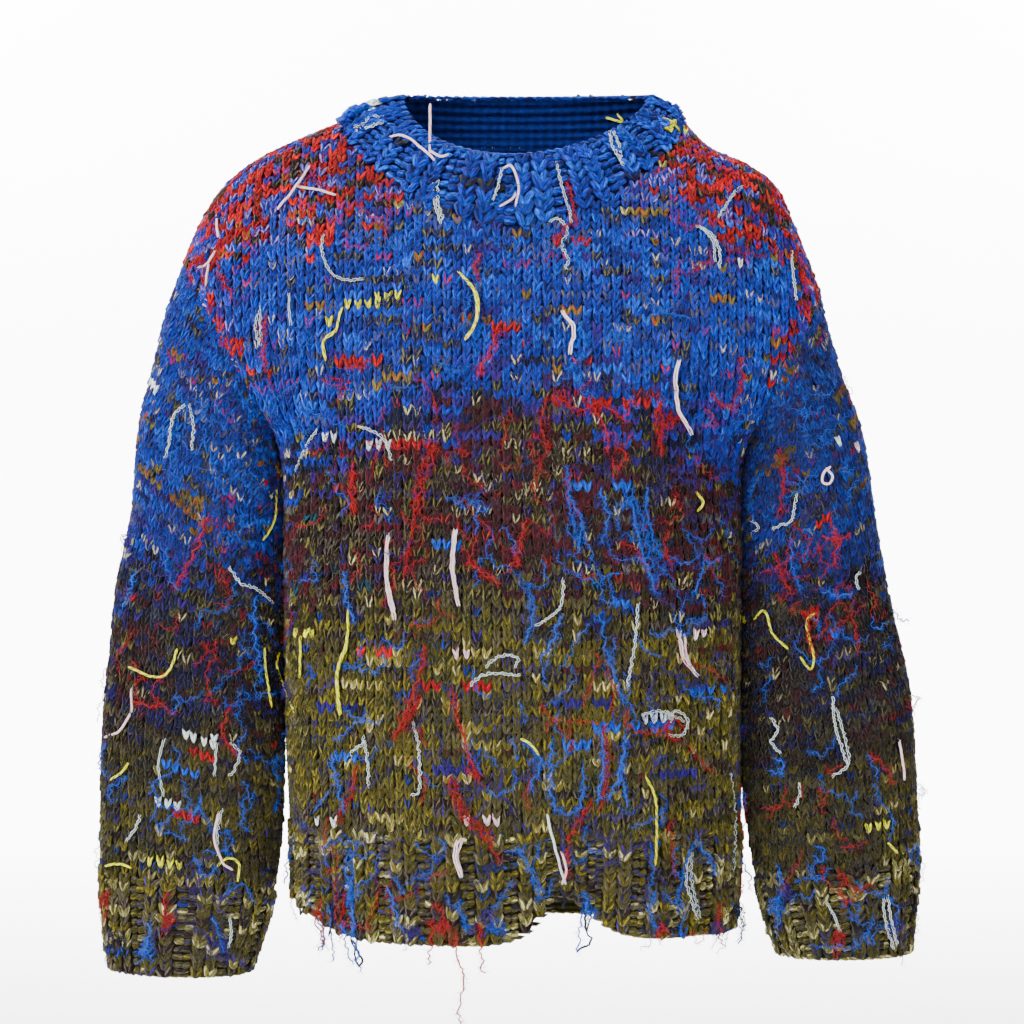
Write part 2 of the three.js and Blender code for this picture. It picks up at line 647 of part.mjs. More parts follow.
// Looks for the cloth from the front or the back, at one place of the picture plane
function surfaceFinder(mesh, fromBack) {
  mesh.material.side = THREE.DoubleSide;
  const caster = new THREE.Raycaster();
  return (x, z) => {
    const start = new THREE.Vector3(x, fromBack ? FAR : -FAR, z);
    caster.set(start, new THREE.Vector3(0, fromBack ? -1 : 1, 0));
    const hit = caster.intersectObject(mesh)[0];
    if (!hit) return null;
    return { point: hit.point, normal: hit.face.normal.clone() };
  };
}

function yarnPath(points, find, lift) {
  const curve = new THREE.CatmullRomCurve3(points.map(([x, z]) => new THREE.Vector3(x, 0, z)));
  const steps = Math.max(2, Math.ceil(curve.getLength() / YARN_STEP));
  let last = null;
  return curve.getSpacedPoints(steps).map((place) => {
    const found = find(place.x, place.z);
    if (!found) {
      last = new THREE.Vector3(place.x, last.y, place.z);
      return last;
    }
    last = found.point.clone().addScaledVector(found.normal, lift);
    return last;
  });
}

// A strand of yarn: a tube of few sides along points, closed at both ends
function strandGeometry(path, radius, sides) {
  const positions = [];
  const index = [];
  path.forEach((point, i) => {
    const before = path[Math.max(i - 1, 0)];
    const after = path[Math.min(i + 1, path.length - 1)];
    const along = after.clone().sub(before).normalize();
    const aside = new THREE.Vector3(0, 1, 0).cross(along).normalize();
    const up = along.clone().cross(aside);
    for (let s = 0; s < sides; s += 1) {
      const angle = (s / sides) * Math.PI * 2;
      const place = point.clone()
        .addScaledVector(aside, radius * Math.cos(angle))
        .addScaledVector(up, radius * Math.sin(angle));
      positions.push(place.x, place.y, place.z);
    }
  });
  const last = (path.length - 1) * sides;
  for (let i = 0; i < path.length - 1; i += 1) {
    for (let s = 0; s < sides; s += 1) {
      const a = i * sides + s;
      const b = i * sides + ((s + 1) % sides);
      index.push(a, b, b + sides, a, b + sides, a + sides);
    }
  }
  for (let s = 1; s < sides - 1; s += 1) {
    index.push(0, s + 1, s);
    index.push(last, last + s, last + s + 1);
  }
  const geometry = new THREE.BufferGeometry();
  geometry.setAttribute('position', new THREE.Float32BufferAttribute(positions, 3));
  geometry.setIndex(index);
  return geometry;
}

const wasm = await Module();
wasm.setup();

function toSolid(geometry) {
  const plain = geometry.clone();
  plain.deleteAttribute('normal');
  const merged = mergeVertices(plain);
  return new wasm.Manifold(new wasm.Mesh({
    numProp: 3,
    vertProperties: new Float32Array(merged.getAttribute('position').array),
    triVerts: new Uint32Array(merged.getIndex().array),
  }));
}

function toGeometry(solid) {
  const mesh = solid.getMesh();
  const geometry = new THREE.BufferGeometry();
  geometry.setAttribute('position', new THREE.Float32BufferAttribute(mesh.vertProperties, 3));
  geometry.setIndex([...mesh.triVerts]);
  geometry.computeVertexNormals();
  return geometry;
}

function endsMesh(ends, carriers) {
  const find = surfaceFinder(carriers[ends.on], ends.on === 'back');
  const lift = YARN_LIFT + ends.thick + (ends.clear ?? 0);
  const backing = yarnPath(ends.row, find, lift);
  let solid = toSolid(strandGeometry(backing, ends.thick * 1.25, 4));
  for (const strand of ends.strands) {
    solid = solid.add(toSolid(strandGeometry(yarnPath(strand, find, lift), ends.thick, 3)));
  }
  return new THREE.Mesh(toGeometry(solid), wool(ends.colour));
}

const sweater = new THREE.Group();
const panels = { front: panelGrids('front'), back: panelGrids('back') };
const meshes = {
  front: new THREE.Mesh(faceGeometry('front', panels.front.outer, panels.front.inner), wool(COLOURS.blue)),
  back: new THREE.Mesh(faceGeometry('back', panels.back.outer, panels.back.inner), wool(COLOURS.blue)),
};
for (const face of ['front', 'back']) {
  const { outer, inner } = hemGrids(face);
  meshes[`hem_rib_${face}`] = new THREE.Mesh(faceGeometry(face, outer, inner), wool(COLOURS.olive));
}
for (const name of ['left', 'right']) {
  meshes[`sleeve_${name}`] = new THREE.Mesh(ringGeometry(name, sleeveGrids(name, panels)), wool(COLOURS.plum));
  meshes[`cuff_${name}`] = new THREE.Mesh(ringGeometry(name, cuffGrids(name)), wool(COLOURS.darkOlive));
}
const band = bandGrids(panels);
meshes.neckband = new THREE.Mesh(wallGeometry(band.outer, band.inner, true), wool(COLOURS.royal));
for (const ends of ENDS) meshes[ends.name] = endsMesh(ends, meshes);
for (const [name, mesh] of Object.entries(meshes)) {
  mesh.name = name;
  sweater.add(mesh);
}

export default sweater;
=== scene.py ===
# %% [markdown]
# # A darned wool sweater
# A bulky pullover, knitted by hand from a wool that changes from blue through dark maroon to olive.
# Short rows were darned over it, and their yarn ends hang loose on the outside.
# Every stitch is laid out on the same surfaces that the solids were made from, so both keep one form.

# %% Setup
from functools import partial

import bpy
import numpy as np
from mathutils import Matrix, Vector
from mathutils.bvhtree import BVHTree


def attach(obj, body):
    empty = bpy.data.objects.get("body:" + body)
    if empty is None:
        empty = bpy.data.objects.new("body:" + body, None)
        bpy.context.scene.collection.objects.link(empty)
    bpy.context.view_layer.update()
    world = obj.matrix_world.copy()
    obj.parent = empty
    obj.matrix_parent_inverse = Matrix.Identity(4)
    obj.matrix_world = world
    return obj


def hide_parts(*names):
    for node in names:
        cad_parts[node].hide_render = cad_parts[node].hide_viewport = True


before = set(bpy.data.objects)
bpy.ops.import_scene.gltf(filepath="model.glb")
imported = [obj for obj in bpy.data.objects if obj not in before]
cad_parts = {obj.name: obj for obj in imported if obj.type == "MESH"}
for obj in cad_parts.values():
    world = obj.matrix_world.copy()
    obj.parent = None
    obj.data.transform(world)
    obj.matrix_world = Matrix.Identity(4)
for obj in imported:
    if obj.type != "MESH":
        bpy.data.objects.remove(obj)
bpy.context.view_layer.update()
rng = np.random.default_rng(41)
MM = 0.001


def put(name, data):
    """A new object in the scene."""
    thing = bpy.data.objects.new(name, data)
    bpy.context.scene.collection.objects.link(thing)
    return thing


print("nodes in the frame:", len(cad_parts))

# %% [markdown]
# ## The form
# A worn pullover is a hollow shell whose front and back bulge between the side seams.
# A cloth simulation could drape it, but its folds would differ from those of the solids.
# So smooth curves through a few measured points, in millimetres, give both of them one form.

# %% Measured outlines
PANEL_FOOT = -606
HEM_MIDDLE = -680
SEAM = 0.3
NECK_HALF = 150
NECK_POINT = 4
NECK_DROP = {"front": 97, "back": 14}
NECK_POWER = {"front": 1.5, "back": 2}
BODY_POWER = 2.3
ARMHOLE_POWER = 2.6
ARMHOLE_DEPTH = {"front": 62, "back": 66}
TOWARDS = {"front": -1, "back": 1}


def through(points):
    """A smooth curve through (key, value) points with rising keys."""
    keys, values = np.array(points, float).T
    last = len(keys) - 1
    after = np.minimum(np.arange(last + 1) + 1, last)
    before = np.maximum(np.arange(last + 1) - 1, 0)
    slopes = (values[after] - values[before]) / (keys[after] - keys[before])

    def curve(key):
        key = np.clip(key, keys[0], keys[-1])
        i = np.clip(np.searchsorted(keys, key) - 1, 0, last - 1)
        step = keys[i + 1] - keys[i]
        t = (key - keys[i]) / step
        start = (1 + 2 * t) * (1 - t) ** 2 * values[i] + t * (1 - t) ** 2 * step * slopes[i]
        end = t * t * (3 - 2 * t) * values[i + 1] + t * t * (t - 1) * step * slopes[i + 1]
        return start + end

    return curve


SIDES = {
    "left": {
        "sign": -1,
        "armpit": (206, -268),
        "tip": (285, -116),
        "seam": through([(-710, 189), (-650, 190), (-606, 192), (-520, 196), (-400, 198), (-300, 199),
                         (-268, 206)]),
        "shoulder": through([(-116, 285), (-104, 281), (-75, 267), (-53, 252), (-33, 229), (-18, 202),
                             (4, 150)]),
    },
    "right": {
        "sign": 1,
        "armpit": (206, -273),
        "tip": (267, -141),
        "seam": through([(-710, 192), (-650, 197), (-606, 198), (-520, 198), (-400, 199), (-300, 199),
                         (-273, 206)]),
        "shoulder": through([(-141, 267), (-106, 254), (-72, 240), (-53, 231), (-35, 209), (-18, 173),
                             (4, 150)]),
    },
}
DEPTH = {
    "front": through([(-720, 108), (-606, 116), (-450, 119), (-300, 121), (-200, 115), (-140, 104), (-93, 88),
                      (-50, 68), (-20, 50), (4, 34)]),
    "back": through([(-720, 108), (-606, 114), (-400, 108), (-250, 116), (-150, 114), (-100, 106), (-60, 92),
                     (-30, 76), (-10, 60), (4, 48)]),
}
# Each fold: where it starts, where it ends, its half width and its depth. A negative depth is a ridge.
FOLDS = {
    "front": [
        ((42, -540), (42, -740), 34, 34),
        ((-196, -288), (-118, -372), 15, 7),
        ((194, -292), (116, -384), 15, 7),
        ((-152, -420), (-143, -720), 17, 8),
        ((148, -400), (160, -720), 17, 8),
        ((-56, -520), (-52, -720), 30, -6),
        ((106, -560), (112, -720), 24, -6),
    ],
    "back": [
        ((0, -230), (0, -470), 46, 9),
        ((-192, -290), (-100, -380), 16, 8),
        ((190, -294), (98, -386), 16, 8),
        ((-70, -520), (-74, -720), 22, 8),
        ((76, -500), (84, -720), 22, 8),
    ],
}
DEEPENS_FROM = 20


print("width between the armholes' tops:", SIDES["left"]["tip"][0] + SIDES["right"]["tip"][0], "mm")

# %% [markdown]
# ## From outlines to a surface
# The body is rounder than a box and flatter than an ellipse, and it opens at the armholes.
# Soft troughs run from the armpits and down to the hem, where the cloth falls between the thighs.
# It could be sculpted by hand, but a formula gives each stitch its exact place and direction.

# %% The body's surface
def smooth(value, low, high):
    share = np.clip((value - low) / (high - low), 0, 1)
    return share * share * (3 - 2 * share)


def side_edge(side, z):
    (pit_x, pit_z), (tip_x, tip_z) = side["armpit"], side["tip"]
    between = pit_x + (z - pit_z) / (tip_z - pit_z) * (tip_x - pit_x)
    below = np.where(z <= pit_z, side["seam"](z), between)
    return np.where(z >= tip_z, side["shoulder"](z), below)


def reach(x, z):
    """Distance from the middle to the edge of the body."""
    return np.where(x < 0, side_edge(SIDES["left"], z), side_edge(SIDES["right"], z))


def armhole_share(x, z):
    total = 0
    for name, here in (("left", x < 0), ("right", x >= 0)):
        low, high = SIDES[name]["armpit"][1], SIDES[name]["tip"][1]
        level = (z - (low + high) / 2) / ((high - low) / 2)
        total = total + np.where(here, np.sqrt(np.maximum(0, 1 - level**2)), 0)
    return total


def fold_depth(face, x, z):
    total = 0
    for (x0, z0), (x1, z1), half, depth in FOLDS[face]:
        along_x, along_z = x1 - x0, z1 - z0
        length = np.hypot(along_x, along_z)
        share = ((x - x0) * along_x + (z - z0) * along_z) / length**2
        across = ((x - x0) * along_z - (z - z0) * along_x) / length
        deepens = depth > DEEPENS_FROM
        swell = smooth(share, 0, 1 if deepens else 0.3)
        stays = deepens or z1 < PANEL_FOOT
        fade = 1 if stays else 1 - smooth(share, 0.7, 1)
        total = total + depth * swell * fade * np.exp(-((across / half) ** 2))
    return total


def body_depth(face, x, z):
    share = np.minimum(1, np.abs(x) / reach(x, z))
    armhole = armhole_share(x, z)
    at_edge = armhole * ARMHOLE_DEPTH[face]
    curved = (1 - share**BODY_POWER) ** (1 / BODY_POWER)
    sloped = 1 - share**ARMHOLE_POWER
    profile = curved + (sloped - curved) * armhole
    relief = fold_depth(face, x, z) * (1 - share**8)
    return at_edge + (DEPTH[face](z) - at_edge) * profile - relief


def body_point(face, x, z):
    x, z = np.broadcast_arrays(np.asarray(x, float), np.asarray(z, float))
    y = TOWARDS[face] * (body_depth(face, x, z) + SEAM / 2)
    return np.stack([x, y, z], -1)


def body_normal(face, x, z, step=1.0):
    slope_x = (body_depth(face, x + step, z) - body_depth(face, x - step, z)) / (2 * step)
    slope_z = (body_depth(face, x, z + step) - body_depth(face, x, z - step)) / (2 * step)
    out = np.stack([-slope_x, np.full_like(slope_x, TOWARDS[face]), -slope_z], -1)
    return unit(out)


def neck_height(face, x):
    share = np.minimum(1, np.abs(x) / NECK_HALF)
    power = NECK_POWER[face]
    return NECK_POINT - NECK_DROP[face] * (1 - share**power) ** (1 / power)


def unit(vectors):
    return vectors / np.maximum(np.linalg.norm(vectors, axis=-1, keepdims=True), 1e-9)


def run_length(line):
    """How far each point of a line is from its start, along the line."""
    return np.r_[0, np.cumsum(np.linalg.norm(np.diff(line, axis=0), axis=1))]


def along_line(line, travelled, at):
    """Points of a line at the given distances from its start."""
    return np.stack([np.interp(at, travelled, line[:, axis]) for axis in range(3)], -1)


print("chest depth at the front:", float(body_depth("front", np.array(0.0), np.array(-300.0))))

# %% [markdown]
# ## The sleeves
# A sleeve is a knitted tube that hangs from the armhole and creases inside the bend of the arm.
# A bent cylinder would do for the tube, but its rings wouldn't meet the armhole's slant.
# Here each ring stands between an outer and an inner outline, and they turn from that slant to level.

# %% The sleeves' surface
CUFF_TOP = 0.855
SLEEVE_REACH = -14
SLEEVE_POWER = 2.2
CREASE_TURN = 0.12
CREASE_WIDTH = 0.035
CREASE_SLANT = 0.25
SLEEVES = {
    "left": {
        "end": (-733, -735),
        "outer": through([(0, 285), (0.07, 301), (0.13, 310), (0.24, 326), (0.35, 331), (0.46, 345),
                          (0.55, 351), (0.67, 357), (0.87, 358), (0.95, 354), (1, 349)]),
        "inner": through([(0, 206), (0.06, 203.5), (0.14, 202.5), (0.7, 202.5), (0.82, 208), (0.9, 215),
                          (0.96, 224), (1, 230)]),
    },
    "right": {
        "end": (-718, -720),
        "outer": through([(0, 267), (0.05, 274), (0.13, 287), (0.21, 304), (0.35, 317), (0.46, 328),
                          (0.6, 346), (0.75, 352), (0.85, 354), (0.95, 350), (1, 346)]),
        "inner": through([(0, 206), (0.06, 203.5), (0.14, 202.5), (0.66, 203.5), (0.78, 210), (0.88, 218),
                          (0.96, 228), (1, 235)]),
    },
}
SLEEVE_DEPTH = through([(0, 64), (0.25, 60), (0.6, 52), (0.86, 45), (1, 42)])
# Share of the way down, place round the sleeve in turns, depth
ELBOW_FOLDS = [(0.2, 0.36, 6), (0.46, 0.3, 8), (0.58, 0.2, 6), (0.5, 0.72, 7), (0.3, 0.66, 6)]


def sleeve_point(name, along, around, raised=0.0):
    """Round the sleeve, 0 is the outer side, 0.25 the front and 0.5 the side next to the body."""
    side, sleeve = SIDES[name], SLEEVES[name]
    along, around = np.broadcast_arrays(np.asarray(along, float), np.asarray(around, float))
    shift = SLEEVE_REACH * along**2
    outer_z = side["tip"][1] + (sleeve["end"][0] - side["tip"][1]) * along
    inner_z = side["armpit"][1] + (sleeve["end"][1] - side["armpit"][1]) * along
    outer = np.stack([side["sign"] * sleeve["outer"](along), shift, outer_z], -1)
    inner = np.stack([side["sign"] * sleeve["inner"](along), shift, inner_z], -1)
    half = (outer - inner) / 2
    width = np.linalg.norm(half, axis=-1) + raised
    depth = SLEEVE_DEPTH(along) + raised
    power = 2 / (2 + (SLEEVE_POWER - 2) * np.minimum(1, along * 4))
    cosine, sine = np.cos(around * 2 * np.pi), np.sin(around * 2 * np.pi)
    press = 0
    for fold_along, fold_around, fold in ELBOW_FOLDS:
        aside = np.abs((around - fold_around + 0.5) % 1 - 0.5)
        slant = along - fold_along - (around - fold_around) * CREASE_SLANT
        press = press + fold * np.exp(-((aside / CREASE_TURN) ** 2) - (slant / CREASE_WIDTH) ** 2)
    sideways = (width - press) * np.sign(cosine) * np.abs(cosine) ** power
    forwards = -(depth - press) * np.sign(sine) * np.abs(sine) ** power
    point = (outer + inner) / 2 + unit(half) * sideways[..., None]
    point[..., 1] += forwards
    return point


print("cuff end:", np.round(sleeve_point("left", 1.0, 0.0), 1))

# %% [markdown]
# ## The neckband
# The band is picked up along the panels' neck edges and leans in towards the neck.
# A torus would be too even, so the band leads from the seam, a curve in space, to its own top edge.
# Its stitches fan out because the seam is longer than the top edge.

# %% The neckband's surface
BAND_HEIGHT = {"front": 60, "side": 24, "back": 44}
BAND_TOP = {"half_width": 110, "middle": 12, "front": -73, "back": 50}
BAND_SWELL = 5
BAND_LEAN = 0.35
BAND_ROUNDNESS = 1.15


def band_point(turn, rise, raised=0.0):
    turn, rise = np.broadcast_arrays(np.asarray(turn, float), np.asarray(rise, float))
    sine, cosine = np.sin(turn * 2 * np.pi), np.cos(turn * 2 * np.pi)
    ahead = cosine > 0
    seam_x = NECK_HALF * sine
    front = body_point("front", seam_x, neck_height("front", seam_x))
    back = body_point("back", seam_x, neck_height("back", seam_x))
    seam = np.where(ahead[..., None], front, back)
    depth = np.abs(cosine) ** BAND_ROUNDNESS
    side_top = NECK_POINT + BAND_HEIGHT["side"]
    front_top = NECK_POINT - NECK_DROP["front"] + BAND_HEIGHT["front"]
    back_top = NECK_POINT - NECK_DROP["back"] + BAND_HEIGHT["back"]
    top = np.stack([
        BAND_TOP["middle"] * (1 - depth) * np.abs(sine) + BAND_TOP["half_width"] * sine,
        np.where(ahead, BAND_TOP["front"], BAND_TOP["back"]) * depth,
        side_top + (np.where(ahead, front_top, back_top) - side_top) * depth,
    ], -1)
    outwards = unit(np.stack([sine, -cosine, np.full_like(sine, BAND_LEAN)], -1))
    swell = BAND_SWELL * np.sin(np.pi * np.clip(rise, 0, 1)) + raised
    return seam + (top - seam) * rise[..., None] + outwards * swell[..., None]


print("band's front edge:", np.round(band_point(0.0, 1.0), 1))

# %% [markdown]
# ## The wool's colours
# Several thin plies are wound together, so each stitch shows a main shade and a marled one.
# A painted texture could show this, but colours kept on the stitches stay sharp from near and far.
# The shades are listed by name. A blend says how often a pair turns up, then its two shades.

# %% Shades and blends
SHADES = {
    "royal": 0x1144B4, "azure": 0x1A70DA, "navy": 0x1C2468, "ink": 0x161A3C, "purple": 0x452A94,
    "plum": 0x4A1E4E, "maroon": 0x581826, "umber": 0x36231E, "khaki": 0x848044, "sand": 0xB8AE78,
    "olive": 0x605A18, "gold": 0x8E8428, "moss": 0x464618, "red": 0xBE0E1C, "scarlet": 0xDA141C,
    "wine": 0x761222, "rust": 0xB84A1C, "lilac": 0x8E70A0, "stone": 0x70685A, "yellow": 0xE8EA00,
    "pink": 0xF8BCC8, "white": 0xF2F4F6, "aqua": 0xC4E6E4, "teal": 0x2A6A78,
}
BLENDS = {
    "red": [(20, "red", "wine"), (9, "scarlet", "red"), (17, "red", "royal"), (6, "wine", "rust"),
            (24, "royal", "lilac"), (15, "umber", "stone"), (5, "red", "khaki"), (12, "purple", "royal")],
    "shoulder": [(14, "royal", "red"), (20, "royal", "lilac"), (18, "umber", "stone"), (18, "royal", "stone"),
                 (7, "stone", "rust"), (8, "red", "wine"), (6, "khaki", "sand"), (8, "royal", "azure"),
                 (6, "purple", "royal")],
    "band": [(48, "royal", "azure"), (34, "royal", "navy"), (12, "azure", "royal"), (5, "navy", "moss")],
    "blue": [(30, "royal", "azure"), (27, "royal", "navy"), (4, "azure", "royal"), (15, "royal", "stone"),
             (9, "navy", "khaki"), (6, "royal", "sand"), (4, "royal", "red"), (3, "khaki", "rust"),
             (5, "purple", "navy")],
    "deep": [(26, "royal", "navy"), (20, "purple", "navy"), (12, "ink", "navy"), (12, "royal", "purple"),
             (14, "ink", "khaki"), (8, "purple", "maroon"), (4, "plum", "red"), (4, "navy", "sand")],
    "dark": [(24, "maroon", "umber"), (20, "umber", "khaki"), (10, "maroon", "plum"), (9, "umber", "purple"),
             (15, "umber", "stone"), (7, "maroon", "wine"), (6, "umber", "sand"), (4, "stone", "navy"),
             (2, "ink", "teal"), (4, "maroon", "rust")],
    "dusk": [(19, "umber", "khaki"), (18, "umber", "stone"), (18, "ink", "purple"), (14, "maroon", "umber"),
             (10, "navy", "khaki"), (6, "umber", "sand"), (5, "maroon", "wine"), (8, "ink", "navy"),
             (4, "umber", "red")],
    "mixed": [(22, "umber", "olive"), (20, "olive", "stone"), (12, "umber", "purple"), (12, "moss", "maroon"),
              (14, "umber", "khaki"), (6, "moss", "navy"), (8, "umber", "gold"), (4, "umber", "royal")],
    "olive": [(32, "olive", "gold"), (22, "olive", "stone"), (13, "moss", "khaki"), (11, "umber", "stone"),
              (6, "olive", "purple"), (5, "olive", "navy"), (7, "gold", "sand"), (2, "moss", "royal"),
              (2, "moss", "wine")],
    "rib": [(30, "olive", "stone"), (28, "olive", "gold"), (10, "umber", "stone"), (22, "khaki", "sand"),
            (7, "olive", "purple"), (5, "olive", "navy"), (2, "moss", "royal")],
}
RUN_BREAK = 0.66
BELOW_ONE = 0.9999
LIGHTNESS = 0.28
DYE_DEPTH = 1.3
DYE_STRENGTH = 0.68
PALE_STRENGTH = 0.82


def linear(value):
    channels = np.array([value >> 16 & 255, value >> 8 & 255, value & 255]) / 255
    return np.where(channels <= 0.04045, channels / 12.92, ((channels + 0.055) / 1.055) ** 2.4)


# Wool takes dye deeply: the dark shades go in darker and fuller than they look on a screen
PALE = ("yellow", "pink", "white", "aqua", "sand", "lilac")
TINTS = {name: linear(value) * PALE_STRENGTH if name in PALE else linear(value) ** DYE_DEPTH * DYE_STRENGTH
         for name, value in SHADES.items()}


print("shades:", ", ".join(TINTS))

# %% [markdown]
# ## Where each blend lies
# The wool changes from blue through dark maroon to olive, and the shoulders are red.
# Straight borders would look painted, so each run of stitches shifts them up or down a little.
# The same pair runs on for a few stitches along a row, as one length of yarn does in knitting.

# %% Zones of colour
# How far the borders between the zones wander up and down
BORDER_BLUR = 13
HALF_CHEST = 200
# Where each zone begins below the blue: its level in the middle, how much lower at the sides, how it falls
BODY_BORDERS = {
    "deep": (-205, 75, 1.4), "dark": (-247, 72, 1.4), "mixed": (-392, 26, 1), "olive": (-414, 26, 1),
}
# The yoke ends at this level and slants down from its bend. It's red outside a line on the left and right.
YOKE_FOOT = -80
YOKE_BEND = 120
YOKE_SLANT = 0.35
YOKE_FROM = 96
RED_FOOT = -135
RED_FROM = [(106, -60, 0.85), (128, -40, 0.9)]
RED_BY_SEAM = 15
RED_SEAM_LEVELS = (-205, -60)
SLEEVE_BORDERS = {"deep": -372, "dusk": -402, "mixed": -528, "olive": -560, "rib": -640}


def body_zone(x, z, soft):
    """Zone names from the top down. soft shifts the borders, so that the zones run into each other."""
    wide = np.abs(x) / HALF_CHEST
    level = z + soft * BORDER_BLUR
    zone = np.full(x.shape, "blue", dtype="<U8")
    for name, (middle, lower, power) in BODY_BORDERS.items():
        zone[level < middle - lower * wide**power] = name
    aside = np.abs(x)
    high = level > YOKE_FOOT - np.maximum(0, aside - YOKE_BEND) * YOKE_SLANT
    zone[high & (aside > YOKE_FROM)] = "shoulder"
    left, right = ((start - (level - at) * slant) for start, at, slant in RED_FROM)
    zone[(level > RED_FOOT) & (aside > np.where(x < 0, left, right)) & high] = "red"
    beside_seam = reach(x, z) - aside < RED_BY_SEAM
    zone[beside_seam & (level > RED_SEAM_LEVELS[0]) & (level < RED_SEAM_LEVELS[1])] = "red"
    return zone


def sleeve_zone(x, z, soft):
    level = z + soft * BORDER_BLUR
    zone = np.full(x.shape, "blue", dtype="<U8")
    for name, border in SLEEVE_BORDERS.items():
        zone[level < border] = name
    return zone


def plain_zone(name):
    return lambda x, z, soft: np.full(x.shape, name, dtype="<U8")


def yarn_colours(zone_of, x, z, row):
    """Main and marled colour of each stitch. Stitches come row by row."""
    count = len(x)
    starts = (rng.random(count) < RUN_BREAK) | np.r_[True, np.diff(row) != 0]
    run = np.cumsum(starts) - 1
    soft = rng.normal(0, 1, run[-1] + 1)[run]
    pick = rng.random(run[-1] + 1)[run]
    zone = zone_of(x, z, soft)
    main, marl = np.zeros((count, 3)), np.zeros((count, 3))
    for name, blend in BLENDS.items():
        here = zone == name
        shares = np.cumsum([share for share, _, _ in blend]) / sum(share for share, _, _ in blend)
        chosen = np.searchsorted(shares, pick[here] * BELOW_ONE)
        main[here] = np.array([TINTS[a] for _, a, _ in blend])[chosen]
        marl[here] = np.array([TINTS[b] for _, _, b in blend])[chosen]
    light = 1 + LIGHTNESS * rng.uniform(-1, 1, (count, 1))
    return main * light, marl * light


print("blends:", ", ".join(BLENDS))

# %% [markdown]
# ## Laying out the stitches
# Knitting is a grid of stitches in columns and rows, and in a rib two columns stand out and two lie back.
# A texture of stitches would be lighter, but flat at every edge.
# So each stitch gets a place, two directions and a size of its own.

# %% Stitch lattices
WALE = 8.4
ROW = 7.0
HALF_WALES = 42
PANEL_LEVELS = 460
PANEL_STEPS = 180
RING_STEPS = 400
HEM_ROWS = 12
CUFF_ROWS = 12
BAND_ROWS = 7
HEM_WALES = 56
CUFF_WALES = 44
BAND_WALES = 72
SLEEVE_ROWS = 74
RIB_RAISE = 1.6
PURL_DROP = 0.2
BAND_RAISE = 2
BAND_DROP = 0.4
SHOULDER_SINK = 5.5
RIB_CROWDING = (-0.17, -0.16, 0.16, 0.17)
RIB_WIDTHS = {"out": 1.32, "back": 0.66}
TURN_STEP = 0.003
RISE_STEP = 0.01
LIFT = 0.5
PANEL_OVERLAP = 5
EDGE_MARGIN = 0.15
NEARLY_ALL = 0.999


def ribbed(column):
    return np.isin(column % 4, (1, 2))


def rib_place(column):
    """The two raised columns of a rib spread apart, and the two between ribs close up."""
    return column + np.array(RIB_CROWDING)[column % 4]


def rib_width(column):
    return np.where(ribbed(column), RIB_WIDTHS["out"], RIB_WIDTHS["back"])


def lattice(point, out, up, width, height, row, purl):
    count = len(point)
    found = {"point": point, "out": unit(out), "up": unit(up)}
    for key, value in (("width", np.asarray(width, float)), ("height", np.asarray(height, float)),
                       ("row", row), ("purl", purl)):
        found[key] = np.broadcast_to(value, (count,)).copy()
    return found


def joined(parts):
    return {key: np.concatenate([part[key] for part in parts]) for key in parts[0]}


print("a stitch is", WALE, "by", ROW, "mm")

# %% [markdown]
# ## The stitches of the front and the back
# The columns of a real panel run straight up, and the rows bend over the shoulders.
# A flat grid pressed on the form would be stretched there.
# So the columns stand at an even distance round the body, and each is divided along its own length.

# %% Stitches of the panels
def panel_lattice(face):
    heights = np.linspace(PANEL_FOOT - PANEL_OVERLAP, NECK_POINT, PANEL_LEVELS)
    shares = np.sin(np.linspace(0, np.pi / 2, PANEL_STEPS))
    columns = np.arange(HALF_WALES)
    found = []
    for sign in (-1, 1):
        level = np.broadcast_to(heights[:, None], (len(heights), len(shares)))
        across = sign * shares[None, :] * reach(np.full_like(heights, sign), heights)[:, None]
        section = body_point(face, across, level)
        steps = np.linalg.norm(np.diff(section, axis=1), axis=-1)
        travelled = np.concatenate([np.zeros((len(heights), 1)), np.cumsum(steps, axis=1)], axis=1)
        wanted = (columns + 0.5) * WALE
        x = np.array([np.interp(wanted, travelled[i], across[i]) for i in range(len(heights))])
        for column in columns:
            line = body_point(face, x[:, column], heights)
            length = run_length(line)
            length -= np.interp(SIDES["left"]["armpit"][1], heights, length)
            rows = np.arange(np.ceil(length[0] / ROW), np.floor(length[-1] / ROW) + 1)
            at = (rows + 0.5) * ROW
            here_x, here_z = np.interp(at, length, x[:, column]), np.interp(at, length, heights)
            ahead, behind = (body_point(face, np.interp(at + step, length, x[:, column]),
                                        np.interp(at + step, length, heights)) for step in (1, -1))
            keep = np.abs(here_x) < reach(here_x, here_z) - EDGE_MARGIN
            in_neck = (np.abs(here_x) < NECK_HALF) & (here_z > neck_height(face, here_x) - 1)
            keep &= ~in_neck & (here_z > PANEL_FOOT - PANEL_OVERLAP + 1) & (at < length[-1])
            if not keep.any():
                continue
            here_x, here_z = here_x[keep], here_z[keep]
            found.append(lattice(
                body_point(face, here_x, here_z), body_normal(face, here_x, here_z), (ahead - behind)[keep],
                WALE, ROW, rows[keep].astype(int), False))
    stitches = joined(found)
    order = np.lexsort((stitches["point"][:, 0], stitches["row"]))
    return {key: values[order] for key, values in stitches.items()}


print("columns on half a panel:", HALF_WALES)

# %% [markdown]
# ## The ribbed hem
# The hem was knitted on below each panel, and its edge waves where the rib pulls in.
# The panel's lattice could run on down, but it has no ribs and would be cut off level.
# So the hem has columns of its own, from the panel's foot to a curve through points on the edge.

